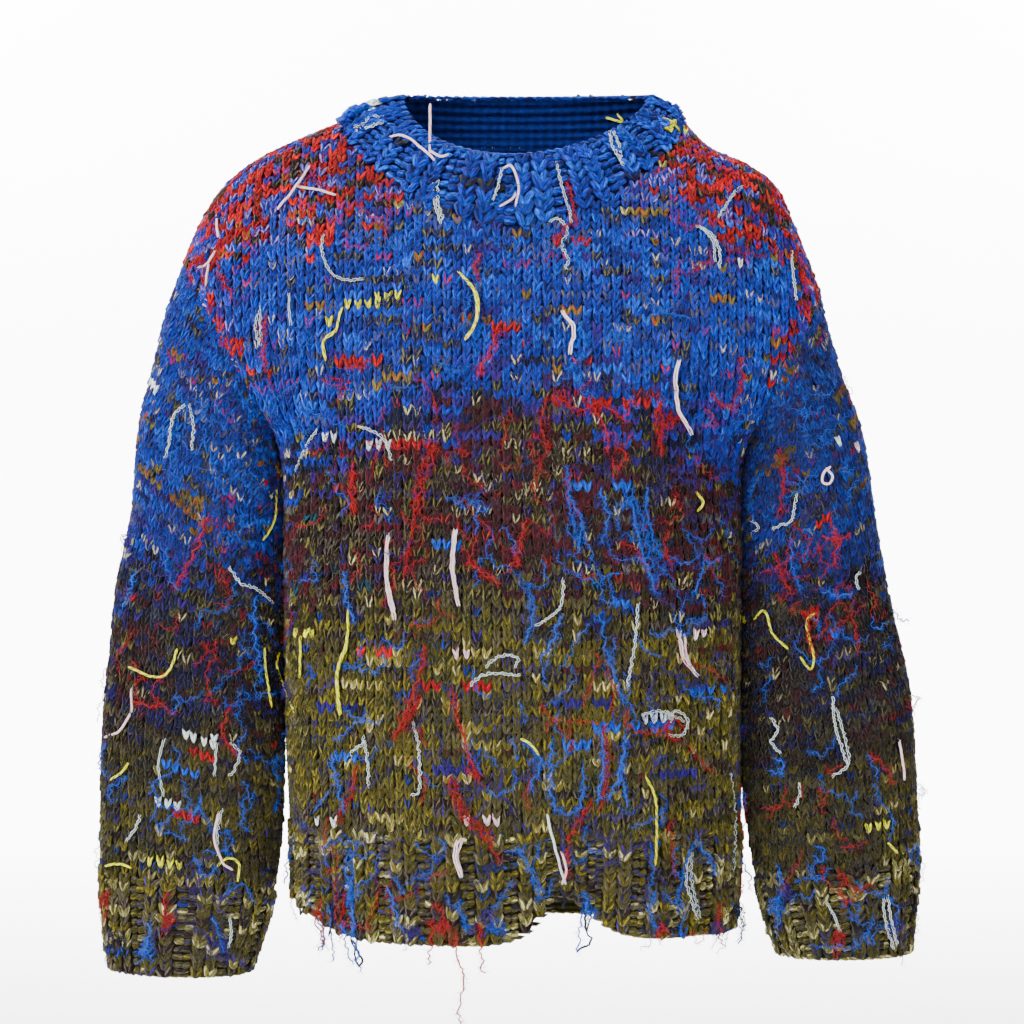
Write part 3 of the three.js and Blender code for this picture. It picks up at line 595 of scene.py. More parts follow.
# %% Stitches of the hem
HEM = {
    "front": through([(-195, -668), (-168, -684), (-138, -696), (-60, -698), (4, -693), (42, -660),
                      (84, -686), (120, -694), (199, -698)]),
    "back": through([(-195, -668), (-150, -690), (0, -702), (199, -698)]),
}


def hem_lattice(face):
    start = PANEL_FOOT - SEAM
    angles = np.linspace(-np.pi / 2, np.pi / 2, RING_STEPS)
    dense_x = np.sin(angles) * reach(np.sin(angles), np.full_like(angles, start))
    dense = body_point(face, dense_x, start)
    travelled = run_length(dense)
    column = np.arange(HEM_WALES + 1)
    top_x = np.interp(rib_place(column) / HEM_WALES * travelled[-1], travelled, dense_x)
    share = top_x / reach(top_x, np.full_like(top_x, start))
    foot = HEM[face](share * reach(top_x, np.full_like(top_x, HEM_MIDDLE)))

    def place(rise):
        z = foot + (start - foot) * rise
        return body_point(face, np.clip(share, -NEARLY_ALL, NEARLY_ALL) * reach(top_x, z), z), z

    found = []
    for row in range(HEM_ROWS):
        point, z = place((row + 0.5) / HEM_ROWS)
        over, _ = place((row + 0.6) / HEM_ROWS)
        aside = np.gradient(point, axis=0)
        out = np.stack([-aside[:, 1], aside[:, 0], np.zeros(len(point))], -1) * TOWARDS[face]
        out = unit(out)
        raised = np.where(ribbed(column), RIB_RAISE, -PURL_DROP)
        width = np.full(len(point), travelled[-1] / HEM_WALES) * rib_width(column)
        found.append(lattice(point + out * raised[:, None], out, over - point, width,
                             (start - foot) / HEM_ROWS, row, ~ribbed(column)))
    return joined(found)


print("ribs along a hem:", HEM_WALES // 4)

# %% [markdown]
# ## The stitches of the sleeves, the cuffs and the neckband
# Sleeves and cuffs are knitted in rounds, and columns end at the underarm as the tube gets narrower.
# Directions could be worked out by hand for each surface, but a small step either way finds them all.
# The cuffs and the neckband have a whole number of ribs, so that none is cut.

# %% Stitches of the tubes
def surface_frame(place, first, second, step_first, step_second, outwards):
    """Point, outward direction and both tangents of a surface given by two parameters."""
    point = place(first, second)
    tangent_first = place(first + step_first, second) - place(first - step_first, second)
    tangent_second = place(first, second + step_second) - place(first, second - step_second)
    out = unit(np.cross(tangent_first, tangent_second))
    flip = np.sign(np.sum(out * outwards, axis=-1, keepdims=True))
    return point, out * flip, tangent_first / (2 * step_first), tangent_second / (2 * step_second)


def sleeve_lattice(name):
    """Columns are counted from the outer side both ways, and run out along the underarm."""
    found = []
    turns = np.linspace(0, 0.5, 200)
    place = partial(sleeve_point, name)
    for row in range(SLEEVE_ROWS):
        along = CUFF_TOP * (row + 0.5) / SLEEVE_ROWS
        for way in (1, -1):
            ring = sleeve_point(name, along, way * turns)
            travelled = run_length(ring)
            wanted = np.arange(0.5, travelled[-1] / WALE) * WALE
            around = way * np.interp(wanted, travelled, turns)
            middle = ring.mean(axis=0) * [1, 0, 1] + [0, SLEEVE_REACH * along**2, 0]
            outwards = sleeve_point(name, along, around) - middle
            level = np.full_like(around, along)
            point, out, down, _ = surface_frame(place, level, around, TURN_STEP, TURN_STEP, outwards)
            height = np.linalg.norm(down, axis=1) * CUFF_TOP / SLEEVE_ROWS
            found.append(lattice(point, out, -down, WALE, height, row, False))
    return joined(found)


def cuff_lattice(name):
    found = []
    column = np.arange(CUFF_WALES)
    around = rib_place(column) / CUFF_WALES
    place = partial(sleeve_point, name)
    for row in range(CUFF_ROWS):
        along = CUFF_TOP + (1 - CUFF_TOP) * (row + 0.5) / CUFF_ROWS
        ring = sleeve_point(name, along, around)
        outwards = ring - ring.mean(axis=0)
        level = np.full_like(around, along)
        point, out, down, aside = surface_frame(place, level, around, TURN_STEP, TURN_STEP, outwards)
        raised = np.where(ribbed(column), RIB_RAISE, -PURL_DROP)
        width = np.linalg.norm(aside, axis=1) / CUFF_WALES * rib_width(column)
        height = np.linalg.norm(down, axis=1) * (1 - CUFF_TOP) / CUFF_ROWS
        point = point + out * raised[:, None]
        found.append(lattice(point, out, -down, width, height, row, ~ribbed(column)))
    return joined(found)


def band_lattice():
    found = []
    column = np.arange(BAND_WALES)
    turn = rib_place(column) / BAND_WALES
    for row in range(BAND_ROWS):
        rise = np.full_like(turn, (row + 0.5) / BAND_ROWS)
        sine, cosine = np.sin(turn * 2 * np.pi), np.cos(turn * 2 * np.pi)
        outwards = np.stack([sine, -cosine, np.full_like(turn, 0.6)], -1)
        point, out, aside, up = surface_frame(band_point, turn, rise, TURN_STEP, RISE_STEP, outwards)
        raised = np.where(ribbed(column), BAND_RAISE, -BAND_DROP)
        raised = raised - SHOULDER_SINK * np.abs(sine) ** 6 * np.maximum(0, 1 - 2.5 * rise)
        width = np.linalg.norm(aside, axis=1) / BAND_WALES * rib_width(column)
        height = np.linalg.norm(up, axis=1) / BAND_ROWS
        point = point + out * raised[:, None]
        found.append(lattice(point, out, up, width, height, row, ~ribbed(column)))
    return joined(found)


STITCHES = {
    "front": panel_lattice("front"),
    "back": panel_lattice("back"),
    "sleeve_left": sleeve_lattice("left"),
    "sleeve_right": sleeve_lattice("right"),
    "hem_rib_front": hem_lattice("front"),
    "hem_rib_back": hem_lattice("back"),
    "cuff_left": cuff_lattice("left"),
    "cuff_right": cuff_lattice("right"),
    "neckband": band_lattice(),
}
print("stitches:", {name: len(part["point"]) for name, part in STITCHES.items()})

# %% [markdown]
# ## One stitch
# A knit stitch shows as two plump legs that meet at the foot and lean apart, and a purl as a bump across.
# A full loop of yarn could be swept along a curve, but what lies behind the cloth is never seen.
# So each leg is a spindle of few faces, which comes forward at its foot and goes back at its head.

# %% Stitch and hair shapes
RING_SIDES = 4


def grain(foot, head, half_width, half_thick, bow, rings=(0.2, 0.74), tint=0.0):
    """A plump spindle from foot to head, bowed outwards. Returns vertices, faces and face UVs."""
    foot, head = np.array(foot, float), np.array(head, float)
    along = head - foot
    across = unit(np.array([along[1], -along[0], 0.0]))
    vertices = [foot]
    for share in rings:
        middle = foot + along * share + [0, 0, bow * np.sin(np.pi * share)]
        for i in range(RING_SIDES):
            angle = 2 * np.pi * i / RING_SIDES
            aside = across * half_width * np.cos(angle)
            vertices.append(middle + aside + [0, 0, half_thick * np.sin(angle)])
    vertices.append(head)
    faces, uvs = [], []
    for i in range(RING_SIDES):
        u0, u1 = i / RING_SIDES + tint, (i + 1) / RING_SIDES + tint
        a, b = 1 + i, 1 + (i + 1) % RING_SIDES
        faces.append((0, b, a))
        uvs += [(u0, 0), (u1, rings[0]), (u0, rings[0])]
        faces.append((a, b, b + RING_SIDES, a + RING_SIDES))
        uvs += [(u0, rings[0]), (u1, rings[0]), (u1, rings[1]), (u0, rings[1])]
        faces.append((a + RING_SIDES, b + RING_SIDES, len(vertices) - 1))
        uvs += [(u0, rings[1]), (u1, rings[1]), (u0, 1)]
    return vertices, faces, uvs


def uv_mesh(name, vertices, faces, uvs):
    mesh = bpy.data.meshes.new(name)
    mesh.from_pydata(vertices, [], faces, shade_flat=False)
    mesh.uv_layers.new(name="UVMap").uv.foreach_set("vector", np.array(uvs, float).ravel())
    return mesh


def shape(name, grains):
    vertices, faces, uvs = [], [], []
    for points, polygons, corners in grains:
        faces += [tuple(i + len(vertices) for i in polygon) for polygon in polygons]
        vertices += [tuple(point) for point in points]
        uvs += corners
    return put(name, uv_mesh(name, vertices, faces, uvs))


# Units: one column across, one row up, one column out
KNIT = shape("knit_shape", [
    grain((-0.02, -0.9, 0.02), (-0.44, 0.84, -0.12), 0.22, 0.2, 0.16, tint=0.0),
    grain((0.02, -0.9, 0.02), (0.44, 0.84, -0.12), 0.22, 0.2, 0.16, tint=0.5),
])
PURL = shape("purl_shape", [
    grain((-0.7, -0.26, -0.06), (0.7, 0.06, -0.06), 0.42, 0.3, 0.26, rings=(0.22, 0.78)),
])
print("triangles in a knit stitch:", 2 * RING_SIDES * 4)

# %% [markdown]
# ## Copies by Geometry Nodes
# The sweater has some twenty thousand stitches of two shapes. Copying them one by one would be slow.
# One node tree puts a shape on each point, turned by two directions and sized by an attribute.
# The colours travel from the points to the copies, and realized copies make one plain mesh for each piece.

# %% The tree that lays shapes on points
def copies_tree():
    tree = bpy.data.node_groups.new("shapes_on_points", "GeometryNodeTree")
    face = tree.interface
    face.new_socket("Geometry", in_out="INPUT", socket_type="NodeSocketGeometry")
    face.new_socket("Shape", in_out="INPUT", socket_type="NodeSocketObject")
    face.new_socket("Second Shape", in_out="INPUT", socket_type="NodeSocketObject")
    face.new_socket("Wool", in_out="INPUT", socket_type="NodeSocketMaterial")
    face.new_socket("Geometry", in_out="OUTPUT", socket_type="NodeSocketGeometry")
    nodes, links = tree.nodes, tree.links
    entry, leave = nodes.new("NodeGroupInput"), nodes.new("NodeGroupOutput")

    def attribute(name, kind):
        node = nodes.new("GeometryNodeInputNamedAttribute")
        node.data_type = kind
        node.inputs["Name"].default_value = name
        return node.outputs["Attribute"]

    turn = nodes.new("FunctionNodeAxesToRotation")
    turn.primary_axis, turn.secondary_axis = "Z", "Y"
    links.new(attribute("out", "FLOAT_VECTOR"), turn.inputs["Primary Axis"])
    links.new(attribute("up", "FLOAT_VECTOR"), turn.inputs["Secondary Axis"])
    second = attribute("second", "BOOLEAN")
    first = nodes.new("FunctionNodeBooleanMath")
    first.operation = "NOT"
    links.new(second, first.inputs[0])
    together = nodes.new("GeometryNodeJoinGeometry")
    for socket, chosen in (("Shape", first.outputs[0]), ("Second Shape", second)):
        info = nodes.new("GeometryNodeObjectInfo")
        links.new(entry.outputs[socket], info.inputs["Object"])
        copies = nodes.new("GeometryNodeInstanceOnPoints")
        links.new(entry.outputs["Geometry"], copies.inputs["Points"])
        links.new(chosen, copies.inputs["Selection"])
        links.new(info.outputs["Geometry"], copies.inputs["Instance"])
        links.new(turn.outputs["Rotation"], copies.inputs["Rotation"])
        links.new(attribute("size", "FLOAT_VECTOR"), copies.inputs["Scale"])
        links.new(copies.outputs["Instances"], together.inputs["Geometry"])
    realize = nodes.new("GeometryNodeRealizeInstances")
    dress = nodes.new("GeometryNodeSetMaterial")
    links.new(together.outputs["Geometry"], realize.inputs["Geometry"])
    links.new(realize.outputs["Geometry"], dress.inputs["Geometry"])
    links.new(entry.outputs["Wool"], dress.inputs["Material"])
    links.new(dress.outputs["Geometry"], leave.inputs["Geometry"])
    return tree


TREE = copies_tree()
TREE_INPUTS = [item for item in TREE.interface.items_tree if item.in_out == "INPUT"]
KINDS = {"FLOAT_VECTOR": "vector", "FLOAT_COLOR": "color", "FLOAT": "value", "BOOLEAN": "value"}
COPY_ATTRIBUTES = {"out": "FLOAT_VECTOR", "up": "FLOAT_VECTOR", "size": "FLOAT_VECTOR", "second": "BOOLEAN",
                   "shade": "FLOAT_COLOR", "marl": "FLOAT_COLOR", "twist": "FLOAT"}


def write_attribute(mesh, name, kind, values):
    values = np.asarray(values)
    if kind == "FLOAT_COLOR":
        values = np.concatenate([values, np.ones((len(values), 1))], axis=1)
    layer = mesh.attributes.new(name, kind, "POINT")
    layer.data.foreach_set(KINDS[kind], values.ravel())


def copies(name, points, first, second, material):
    """points: place and size in millimetres, directions, colours. Returns one realized object."""
    mesh = bpy.data.meshes.new(name + "_points")
    mesh.from_pydata(points["point"] * MM, [], [])
    for key, kind in COPY_ATTRIBUTES.items():
        write_attribute(mesh, key, kind, points[key] * MM if key == "size" else points[key])
    carrier = put(name + "_points", mesh)
    modifier = carrier.modifiers.new("copies", "NODES")
    modifier.node_group = TREE
    sockets = {item.name: item.identifier for item in TREE_INPUTS}
    modifier[sockets["Shape"]] = first
    modifier[sockets["Second Shape"]] = second
    modifier[sockets["Wool"]] = material
    evaluated = carrier.evaluated_get(bpy.context.evaluated_depsgraph_get())
    realized = bpy.data.meshes.new_from_object(evaluated)
    realized.name = name
    for extra in ("out", "up", "size", "second"):
        if extra in realized.attributes:
            realized.attributes.remove(realized.attributes[extra])
    piece = put(name, realized)
    bpy.data.objects.remove(carrier)
    bpy.data.meshes.remove(mesh)
    return piece


print("inputs:", [item.name for item in TREE_INPUTS])

# %% [markdown]
# ## Short ways to write nodes
# A material is a tree of nodes, and each takes several lines to make and join.
# It could be drawn in the shader editor, but a script makes it the same way each time.
# Each helper makes one node and returns its output, so that a tree reads like a formula.

# %% Node helpers
STREAKS_APART = 61.0


def math_node(tree, operation, first, second=None):
    node = tree.nodes.new("ShaderNodeMath")
    node.operation = operation
    for slot, value in enumerate((first, second)):
        if value is None:
            continue
        if isinstance(value, (int, float)):
            node.inputs[slot].default_value = value
        else:
            tree.links.new(value, node.inputs[slot])
    return node.outputs[0]


def attribute_node(tree, name, output):
    node = tree.nodes.new("ShaderNodeAttribute")
    node.attribute_name = name
    return node.outputs[output]


def noise_node(tree, scale, detail, place=None):
    """Noise over the object, or over the place given."""
    place = place or tree.nodes.new("ShaderNodeTexCoord").outputs["Object"]
    node = tree.nodes.new("ShaderNodeTexNoise")
    node.inputs["Scale"].default_value = scale
    node.inputs["Detail"].default_value = detail
    tree.links.new(place, node.inputs["Vector"])
    return node.outputs["Fac"]


def mix_node(tree, blend, factor, first, second):
    node = tree.nodes.new("ShaderNodeMix")
    node.data_type = "RGBA"
    node.blend_type = blend
    colours = [socket for socket in node.inputs if socket.type == "RGBA"]
    for socket, value in ((node.inputs["Factor"], factor), (colours[0], first), (colours[1], second)):
        if isinstance(value, (int, float, tuple)):
            socket.default_value = value
        else:
            tree.links.new(value, socket)
    return next(socket for socket in node.outputs if socket.type == "RGBA")


def short_maths(tree):
    """The math nodes that are used most, under short names."""
    return (partial(math_node, tree, kind) for kind in ("ADD", "MULTIPLY", "SINE"))


def streak_node(tree, split, across, along):
    """Noise drawn out along the yarn, different on every stitch."""
    _, times, _ = short_maths(tree)
    place = tree.nodes.new("ShaderNodeCombineXYZ")
    tree.links.new(times(split.outputs["X"], across), place.inputs["X"])
    tree.links.new(times(split.outputs["Y"], along), place.inputs["Y"])
    tree.links.new(times(attribute_node(tree, "twist", "Fac"), STREAKS_APART), place.inputs["Z"])
    return noise_node(tree, 1.0, 3, place.outputs[0])


def new_material(name):
    material = bpy.data.materials.new(name)
    material.use_nodes = True
    return material, material.node_tree, material.node_tree.nodes["Principled BSDF"]


def finish_cloth(tree, shader, colour, light, height, relief, finish):
    """Colour scaled by light, a bump of a strength and depth, and a finish of roughness and specular."""
    final = tree.nodes.new("ShaderNodeVectorMath")
    final.operation = "SCALE"
    tree.links.new(colour, final.inputs[0])
    tree.links.new(light, final.inputs["Scale"])
    tree.links.new(final.outputs[0], shader.inputs["Base Color"])
    bump = tree.nodes.new("ShaderNodeBump")
    bump.inputs["Strength"].default_value, bump.inputs["Distance"].default_value = relief
    tree.links.new(height, bump.inputs["Height"])
    tree.links.new(bump.outputs["Normal"], shader.inputs["Normal"])
    shader.inputs["Roughness"].default_value, shader.inputs["Specular IOR Level"].default_value = finish


print("node helpers: maths, attribute, noise, mix and streaks")

# %% [markdown]
# ## The wool
# Two shades wind round each other along the yarn, with painted shade in the groove between the plies.
# Plies of their own would take many more faces, so a wave over the UV map tells them apart.
# Noise along the fibres breaks up the light, and a weak sheen stands for the fuzz.
# The inside of the cloth shows the back of the knitting: rows of small bumps, with their light and shade
# painted in, on a colour darkened as painted shade.

# %% Materials
def wool_material(name, plies, winding, painted_groove_shade, contrast, fuzz):
    material, tree, shader = new_material(name)
    add, times, sine = short_maths(tree)
    uv = tree.nodes.new("ShaderNodeUVMap")
    uv.uv_map = "UVMap"
    split = tree.nodes.new("ShaderNodeSeparateXYZ")
    tree.links.new(uv.outputs["UV"], split.inputs[0])
    fibre = streak_node(tree, split, 17, 3.4)
    flecks = streak_node(tree, split, 11, 1.7)
    wound = add(times(split.outputs["X"], plies), times(split.outputs["Y"], winding))
    wound = add(wound, attribute_node(tree, "twist", "Fac"))
    wound = add(wound, times(noise_node(tree, 240, 2), 0.5))
    wave = sine(times(wound, 2 * np.pi))
    mottle = times(add(flecks, -0.55), 7.0)
    chosen = times(add(wave, mottle), 2.0)
    chosen = math_node(tree, "MINIMUM", math_node(tree, "MAXIMUM", chosen, 0.0), 1.0)
    marled = mix_node(tree, "MIX", chosen, attribute_node(tree, "shade", "Color"),
                      attribute_node(tree, "marl", "Color"))
    # Painted shade: the groove between the plies is darkened towards a near-black colour
    ridge = math_node(tree, "ABSOLUTE", wave)
    groove = math_node(tree, "SUBTRACT", 1.0, math_node(tree, "POWER", ridge, 0.45))
    shaded = mix_node(tree, "MULTIPLY", times(groove, painted_groove_shade), marled, (0.12, 0.1, 0.12, 1))
    light = math_node(tree, "MAXIMUM", add(times(fibre, contrast), 1.0 - contrast / 2), 0.12)
    height = add(times(ridge, 0.8), times(fibre, 0.9))
    finish_cloth(tree, shader, shaded, light, height, (0.7, 0.0007), (0.9, 0.12))
    shader.inputs["Sheen Weight"].default_value = fuzz
    shader.inputs["Sheen Roughness"].default_value = 0.55
    return material


def backing_material():
    """The inside of the knitting, and what shows between the stitches, in a colour darkened as painted shade.
    """
    material, tree, shader = new_material("knit_inside_painted_shade")
    add, times, sine = short_maths(tree)
    place = tree.nodes.new("ShaderNodeTexCoord")
    split = tree.nodes.new("ShaderNodeSeparateXYZ")
    tree.links.new(place.outputs["Object"], split.inputs[0])
    rows = sine(times(split.outputs["Z"], 2 * np.pi / (ROW * MM)))
    bumps = sine(times(split.outputs["X"], 2 * np.pi / (WALE * MM)))
    relief = add(rows, times(bumps, 0.5))
    # Painted shade and light: the colour is darkened to about a third and lit and shaded along the rows of
    # bumps, and noise varies its tone
    light = add(add(times(relief, 0.1), 0.3), times(noise_node(tree, 260, 3), 0.5))
    shade = attribute_node(tree, "shade", "Color")
    height = add(relief, noise_node(tree, 700, 2))
    finish_cloth(tree, shader, shade, light, height, (0.8, 0.002), (0.95, 0.1))
    return material


WOOL = wool_material("marled_wool", 2, 0.5, 0.8, 4.6, 0.05)
YARN = wool_material("darning_yarn", 2, 1.0, 0.35, 1.0, 0.05)
HAIR = wool_material("loose_hair", 1, 0.0, 0.0, 0.0, 0.1)
INSIDE = backing_material()
print("materials:", [material.name for material in (WOOL, YARN, HAIR, INSIDE)])

# %% [markdown]
# ## Where things are in the picture
# Many yarns are known only by where they show. Placing them by hand in the viewport would be guesswork.
# So they are charted by pixel, at 0.88 mm to a pixel on the middle plane.
# A ray from the camera through that pixel finds the cloth, and the yarn lies on the real surface.

# %% Looking for the cloth
CAMERA_AWAY = 2400
CAMERA_HEIGHT = -336
PIXEL = 0.88
MIDDLE_PX = 511.5
MIDDLE_PY = 512
CLOTH_NODES = list(STITCHES)


def cloth_finder(names):
    vertices, polygons = [], []
    for name in names:
        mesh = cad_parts[name].data
        start = len(vertices)
        vertices += [vertex.co / MM for vertex in mesh.vertices]
        polygons += [[start + i for i in polygon.vertices] for polygon in mesh.polygons]
    return BVHTree.FromPolygons(vertices, polygons)


CLOTH = cloth_finder(CLOTH_NODES)
WALLS = {name: cloth_finder([name]) for name in CLOTH_NODES}
FEEL = 9


def stood_on_wall(name, point, out):
    """Moves the stitches that lie below their part's outer surface up to it, as in the creases."""
    moved = point.copy()
    for i, (place, way) in enumerate(zip(point, out)):
        _, _, _, distance = WALLS[name].ray_cast(Vector(place + way * FEEL), Vector(-way), FEEL)
        if distance is not None:
            moved[i] += way * min(FEEL - distance, FEEL - 2)
    return moved


EYE = Vector((0, -CAMERA_AWAY, CAMERA_HEIGHT))


def through_pixel(px, py):
    target = Vector(((px - MIDDLE_PX) * PIXEL, 0, CAMERA_HEIGHT - (py - MIDDLE_PY) * PIXEL))
    return (target - EYE).normalized()


def pixel_of(points):
    """Pixels where points in millimetres show."""
    scale = CAMERA_AWAY / (CAMERA_AWAY + points[:, 1]) / PIXEL
    across, up = points[:, 0] * scale, (points[:, 2] - CAMERA_HEIGHT) * scale
    return np.stack([MIDDLE_PX + across, MIDDLE_PY - up], -1)


print("cloth in the middle of the picture:", CLOTH.ray_cast(EYE, through_pixel(MIDDLE_PX, MIDDLE_PY))[0])

# %% [markdown]
# ## Darned rows
# Duplicate stitches follow the V of the stitches below them in another yarn.
# They could be laid on top as new stitches, but a new colour and size on those below looks the same.
# Each entry is a colour and its lines of pixels. The stitches nearest to a line take the colour.

# %% Darned rows, by pixel
DARNED = [
    ("yellow", [
        [(358, 304), (380, 296), (405, 288)], [(437, 280), (457, 268)], [(330, 318), (346, 306)],
        [(200, 638), (240, 640)], [(128, 862), (192, 862)], [(740, 618), (760, 620)],
        [(872, 826), (892, 826)], [(655, 120), (682, 130)], [(588, 126), (622, 125)],
        [(246, 460), (276, 470)],
    ]),
    ("pink", [
        [(433, 160), (452, 162)], [(680, 632), (706, 634), (721, 642)], [(828, 448), (852, 448)],
        [(462, 818), (496, 816)], [(440, 648), (468, 654)],
    ]),
    ("white", [
        [(354, 440), (392, 446)], [(318, 432), (346, 436)], [(136, 802), (200, 802)],
        [(158, 738), (224, 738)], [(320, 818), (342, 816)], [(642, 714), (684, 712)],
        [(726, 248), (742, 262), (760, 286)], [(152, 384), (188, 386)], [(816, 438), (850, 436)],
    ]),
    ("aqua", [[(346, 112), (384, 104)]]),
    ("red", [
        [(236, 484), (262, 484)], [(820, 522), (860, 518)], [(166, 752), (222, 754)],
        [(176, 816), (192, 816)], [(560, 400), (600, 396), (628, 402)], [(340, 360), (374, 362)],
        [(540, 240), (600, 236)],
    ]),
    ("scarlet", [[(360, 652), (392, 656)]]),
    ("red", [[(496, 326), (520, 322)]]),
    ("azure", [
        [(166, 768), (222, 770)], [(548, 738), (586, 742)], [(232, 516), (264, 518)],
        [(600, 604), (640, 606)], [(328, 752), (352, 756)], [(826, 634), (866, 632)],
        [(430, 540), (462, 542)], [(690, 690), (722, 692)],
    ]),
    ("purple", [
        [(300, 700), (352, 704)], [(560, 700), (620, 704)], [(420, 764), (470, 768)],
        [(640, 770), (700, 776)],
    ]),
]
# The back has a few rows of its own, as places in millimetres
DARNED_BACK = [
    ("red", [[(-70, -200), (-30, -206), (20, -202)]]),
    ("azure", [[(50, -380), (85, -376), (120, -382)]]),
    ("white", [[(-120, -470), (-90, -466), (-56, -472)]]),
    ("yellow", [[(60, -240), (96, -244)]]),
    ("pink", [[(-130, -330), (-96, -326)]]),
    ("azure", [[(-60, -300), (-10, -304)]]),
    ("red", [[(30, -520), (80, -524)]]),
    ("yellow", [[(-20, -560), (20, -562)]]),
]
# The rows that the solids carry too, in millimetres: face, row, then its ends
SOLID_ENDS = {
    "ends_yellow_chest": ("yellow", 1, [(-143, -163), (-129, -161), (-90, -148), (-46, -133)], [
        [(-143, -163), (-149, -184), (-159, -192), (-157, -208)],
        [(-46, -133), (-32, -150), (-30, -175), (-39, -191)]]),
    "ends_white_shoulder": ("white", 1, [(-222, -160), (-205, -154), (-180, -146)], [
        [(-215, -158), (-214, -195)], [(-190, -149), (-188, -178)]]),
    "ends_red_chest": ("red", 1, [(24, -236), (64, -246), (126, -240)], [
        [(30, -237), (24, -262), (32, -285)], [(66, -246), (78, -266), (80, -286)],
        [(124, -240), (126, -264), (126, -289)]]),
    "ends_red_middle": ("red", 1, [(-135, -290), (-100, -282), (-62, -276)], [
        [(-64, -276), (-78, -305), (-82, -334)], [(-134, -290), (-133, -334)]]),
    "ends_pink_middle": ("pink", 1, [(-106, -352), (-80, -350), (-47, -348)], [
        [(-48, -348), (-51, -380), (-46, -412)], [(-105, -352), (-106, -390), (-100, -420)]]),
    "ends_blue_middle": ("azure", 1, [(44, -308), (75, -314), (102, -318)], [
        [(46, -308), (49, -335), (57, -366)], [(74, -314), (80, -340), (76, -362)],
        [(100, -318), (112, -350), (120, -400)]]),
    "ends_yellow_waist": ("yellow", 1, [(-182, -440), (-160, -430), (-137, -426)], [
        [(-138, -426), (-140, -450), (-148, -474), (-145, -507)], [(-181, -440), (-182, -478)]]),
    "ends_red_waist": ("red", 1, [(-78, -486), (-50, -480), (-20, -484)], [
        [(-76, -486), (-87, -506), (-100, -525)], [(-52, -480), (-42, -520), (-28, -560)]]),
    "ends_blue_waist": ("azure", 1, [(70, -516), (95, -520), (130, -514)], [
        [(74, -517), (76, -548), (72, -580)], [(96, -520), (92, -552), (98, -584)]]),
    "ends_hem_front": ("red", 1, [(-70, -676), (-48, -678), (-24, -678)], [
        [(-48, -678), (-46, -706), (-40, -728), (-45, -752), (-41, -776), (-44, -798)],
        [(-66, -676), (-70, -716)], [(-28, -678), (-24, -722)]]),
    "ends_hem_corner": ("azure", 1, [(-158, -668), (-140, -672), (-124, -674)], [
        [(-156, -668), (-152, -719)], [(-136, -673), (-129, -726)]]),
    "ends_red_back": ("red", -1, [(-70, -200), (-30, -206), (20, -202)], [
        [(-68, -200), (-74, -250)], [(-30, -206), (-22, -246), (-28, -280)], [(18, -202), (26, -244)]]),
    "ends_blue_back": ("azure", -1, [(50, -380), (85, -376), (120, -382)], [
        [(52, -380), (46, -440)], [(86, -376), (92, -428)], [(118, -382), (112, -450)]]),
    "ends_white_back": ("white", -1, [(-120, -470), (-90, -466), (-56, -472)], [
        [(-118, -470), (-124, -520)], [(-58, -472), (-50, -516), (-56, -540)]]),
    "ends_sleeve_left": ("white", 1, [(-300, -526), (-275, -530), (-252, -534)], [
        [(-298, -526), (-304, -552), (-300, -580)], [(-254, -534), (-256, -563)]]),
    "ends_sleeve_right": ("red", 1, [(252, -420), (272, -424), (296, -420)], [
        [(256, -421), (254, -440), (260, -461)], [(292, -420), (298, -456)]]),
}
# The rows of these lie on top, and the others are hidden between the stitches
SHOWN_ROWS = [
    "ends_yellow_chest", "ends_red_chest", "ends_red_middle", "ends_blue_middle", "ends_yellow_waist",
    "ends_red_waist", "ends_blue_waist", "ends_sleeve_left", "ends_sleeve_right",
]


print("darned rows on the solids:", len(SOLID_ENDS))

# %% [markdown]
# ## Dressing the stitches
# Hand knitting is uneven, and a darner leaves a stitch out here and there.
# One noise over the cloth would move neighbours alike, so each stitch draws its own size and lean.
# Then it gets its colours, and the stitches of each part are copied.

# %% Colour and size of each stitch
DARNED_REACH = 4.4
DARNED_GROWTH = 1.04
DARNED_SKIPS = 0.25
THIN_YARNS = ("white", "aqua", "pink", "yellow")
THIN_WIDTH = 0.72
# Hand knitting is uneven: how much stitches differ in size and lean
UNEVEN = 0.09
UNEVEN_AXES = [1, 0.8, 1.4]
WANDER = 0.35
LEAN = 0.1
MARL_OF = {"yellow": "khaki", "pink": "white", "white": "aqua", "aqua": "white", "red": "wine",
           "azure": "royal", "scarlet": "red", "purple": "navy", "ink": "navy"}


def distance_to_line(places, line):
    best = np.full(len(places), np.inf)
    line = np.array(line, float)
    for start, end in zip(line[:-1], line[1:]):
        along = end - start
        share = np.clip(((places - start) @ along) / (along @ along), 0, 1)
        best = np.minimum(best, np.linalg.norm(places - start - share[:, None] * along, axis=1))
    return best


def darn(stitches, shade, marl, size, places, rows, seen):
    """Recolours one row of stitches along each line, and leaves a few of them out as a darner does."""
    for colour, line in [(colour, line) for colour, lines in rows for line in lines]:
        near = seen & (distance_to_line(places, line) < DARNED_REACH)
        if not near.any():
            continue
        lowest = stitches["row"].min()
        nearest = np.bincount(stitches["row"][near] - lowest).argmax() + lowest
        wanted = near & (stitches["row"] == nearest) & (rng.random(len(near)) > DARNED_SKIPS)
        shade[wanted] = TINTS[colour]
        marl[wanted] = TINTS[MARL_OF[colour]]
        size[wanted] *= [THIN_WIDTH if colour in THIN_YARNS else DARNED_GROWTH, DARNED_GROWTH, DARNED_GROWTH]
    return shade, marl, size


ZONE_OF = dict.fromkeys(STITCHES, plain_zone("rib"))
ZONE_OF.update(front=body_zone, back=body_zone, sleeve_left=sleeve_zone, sleeve_right=sleeve_zone)
ZONE_OF["neckband"] = plain_zone("band")
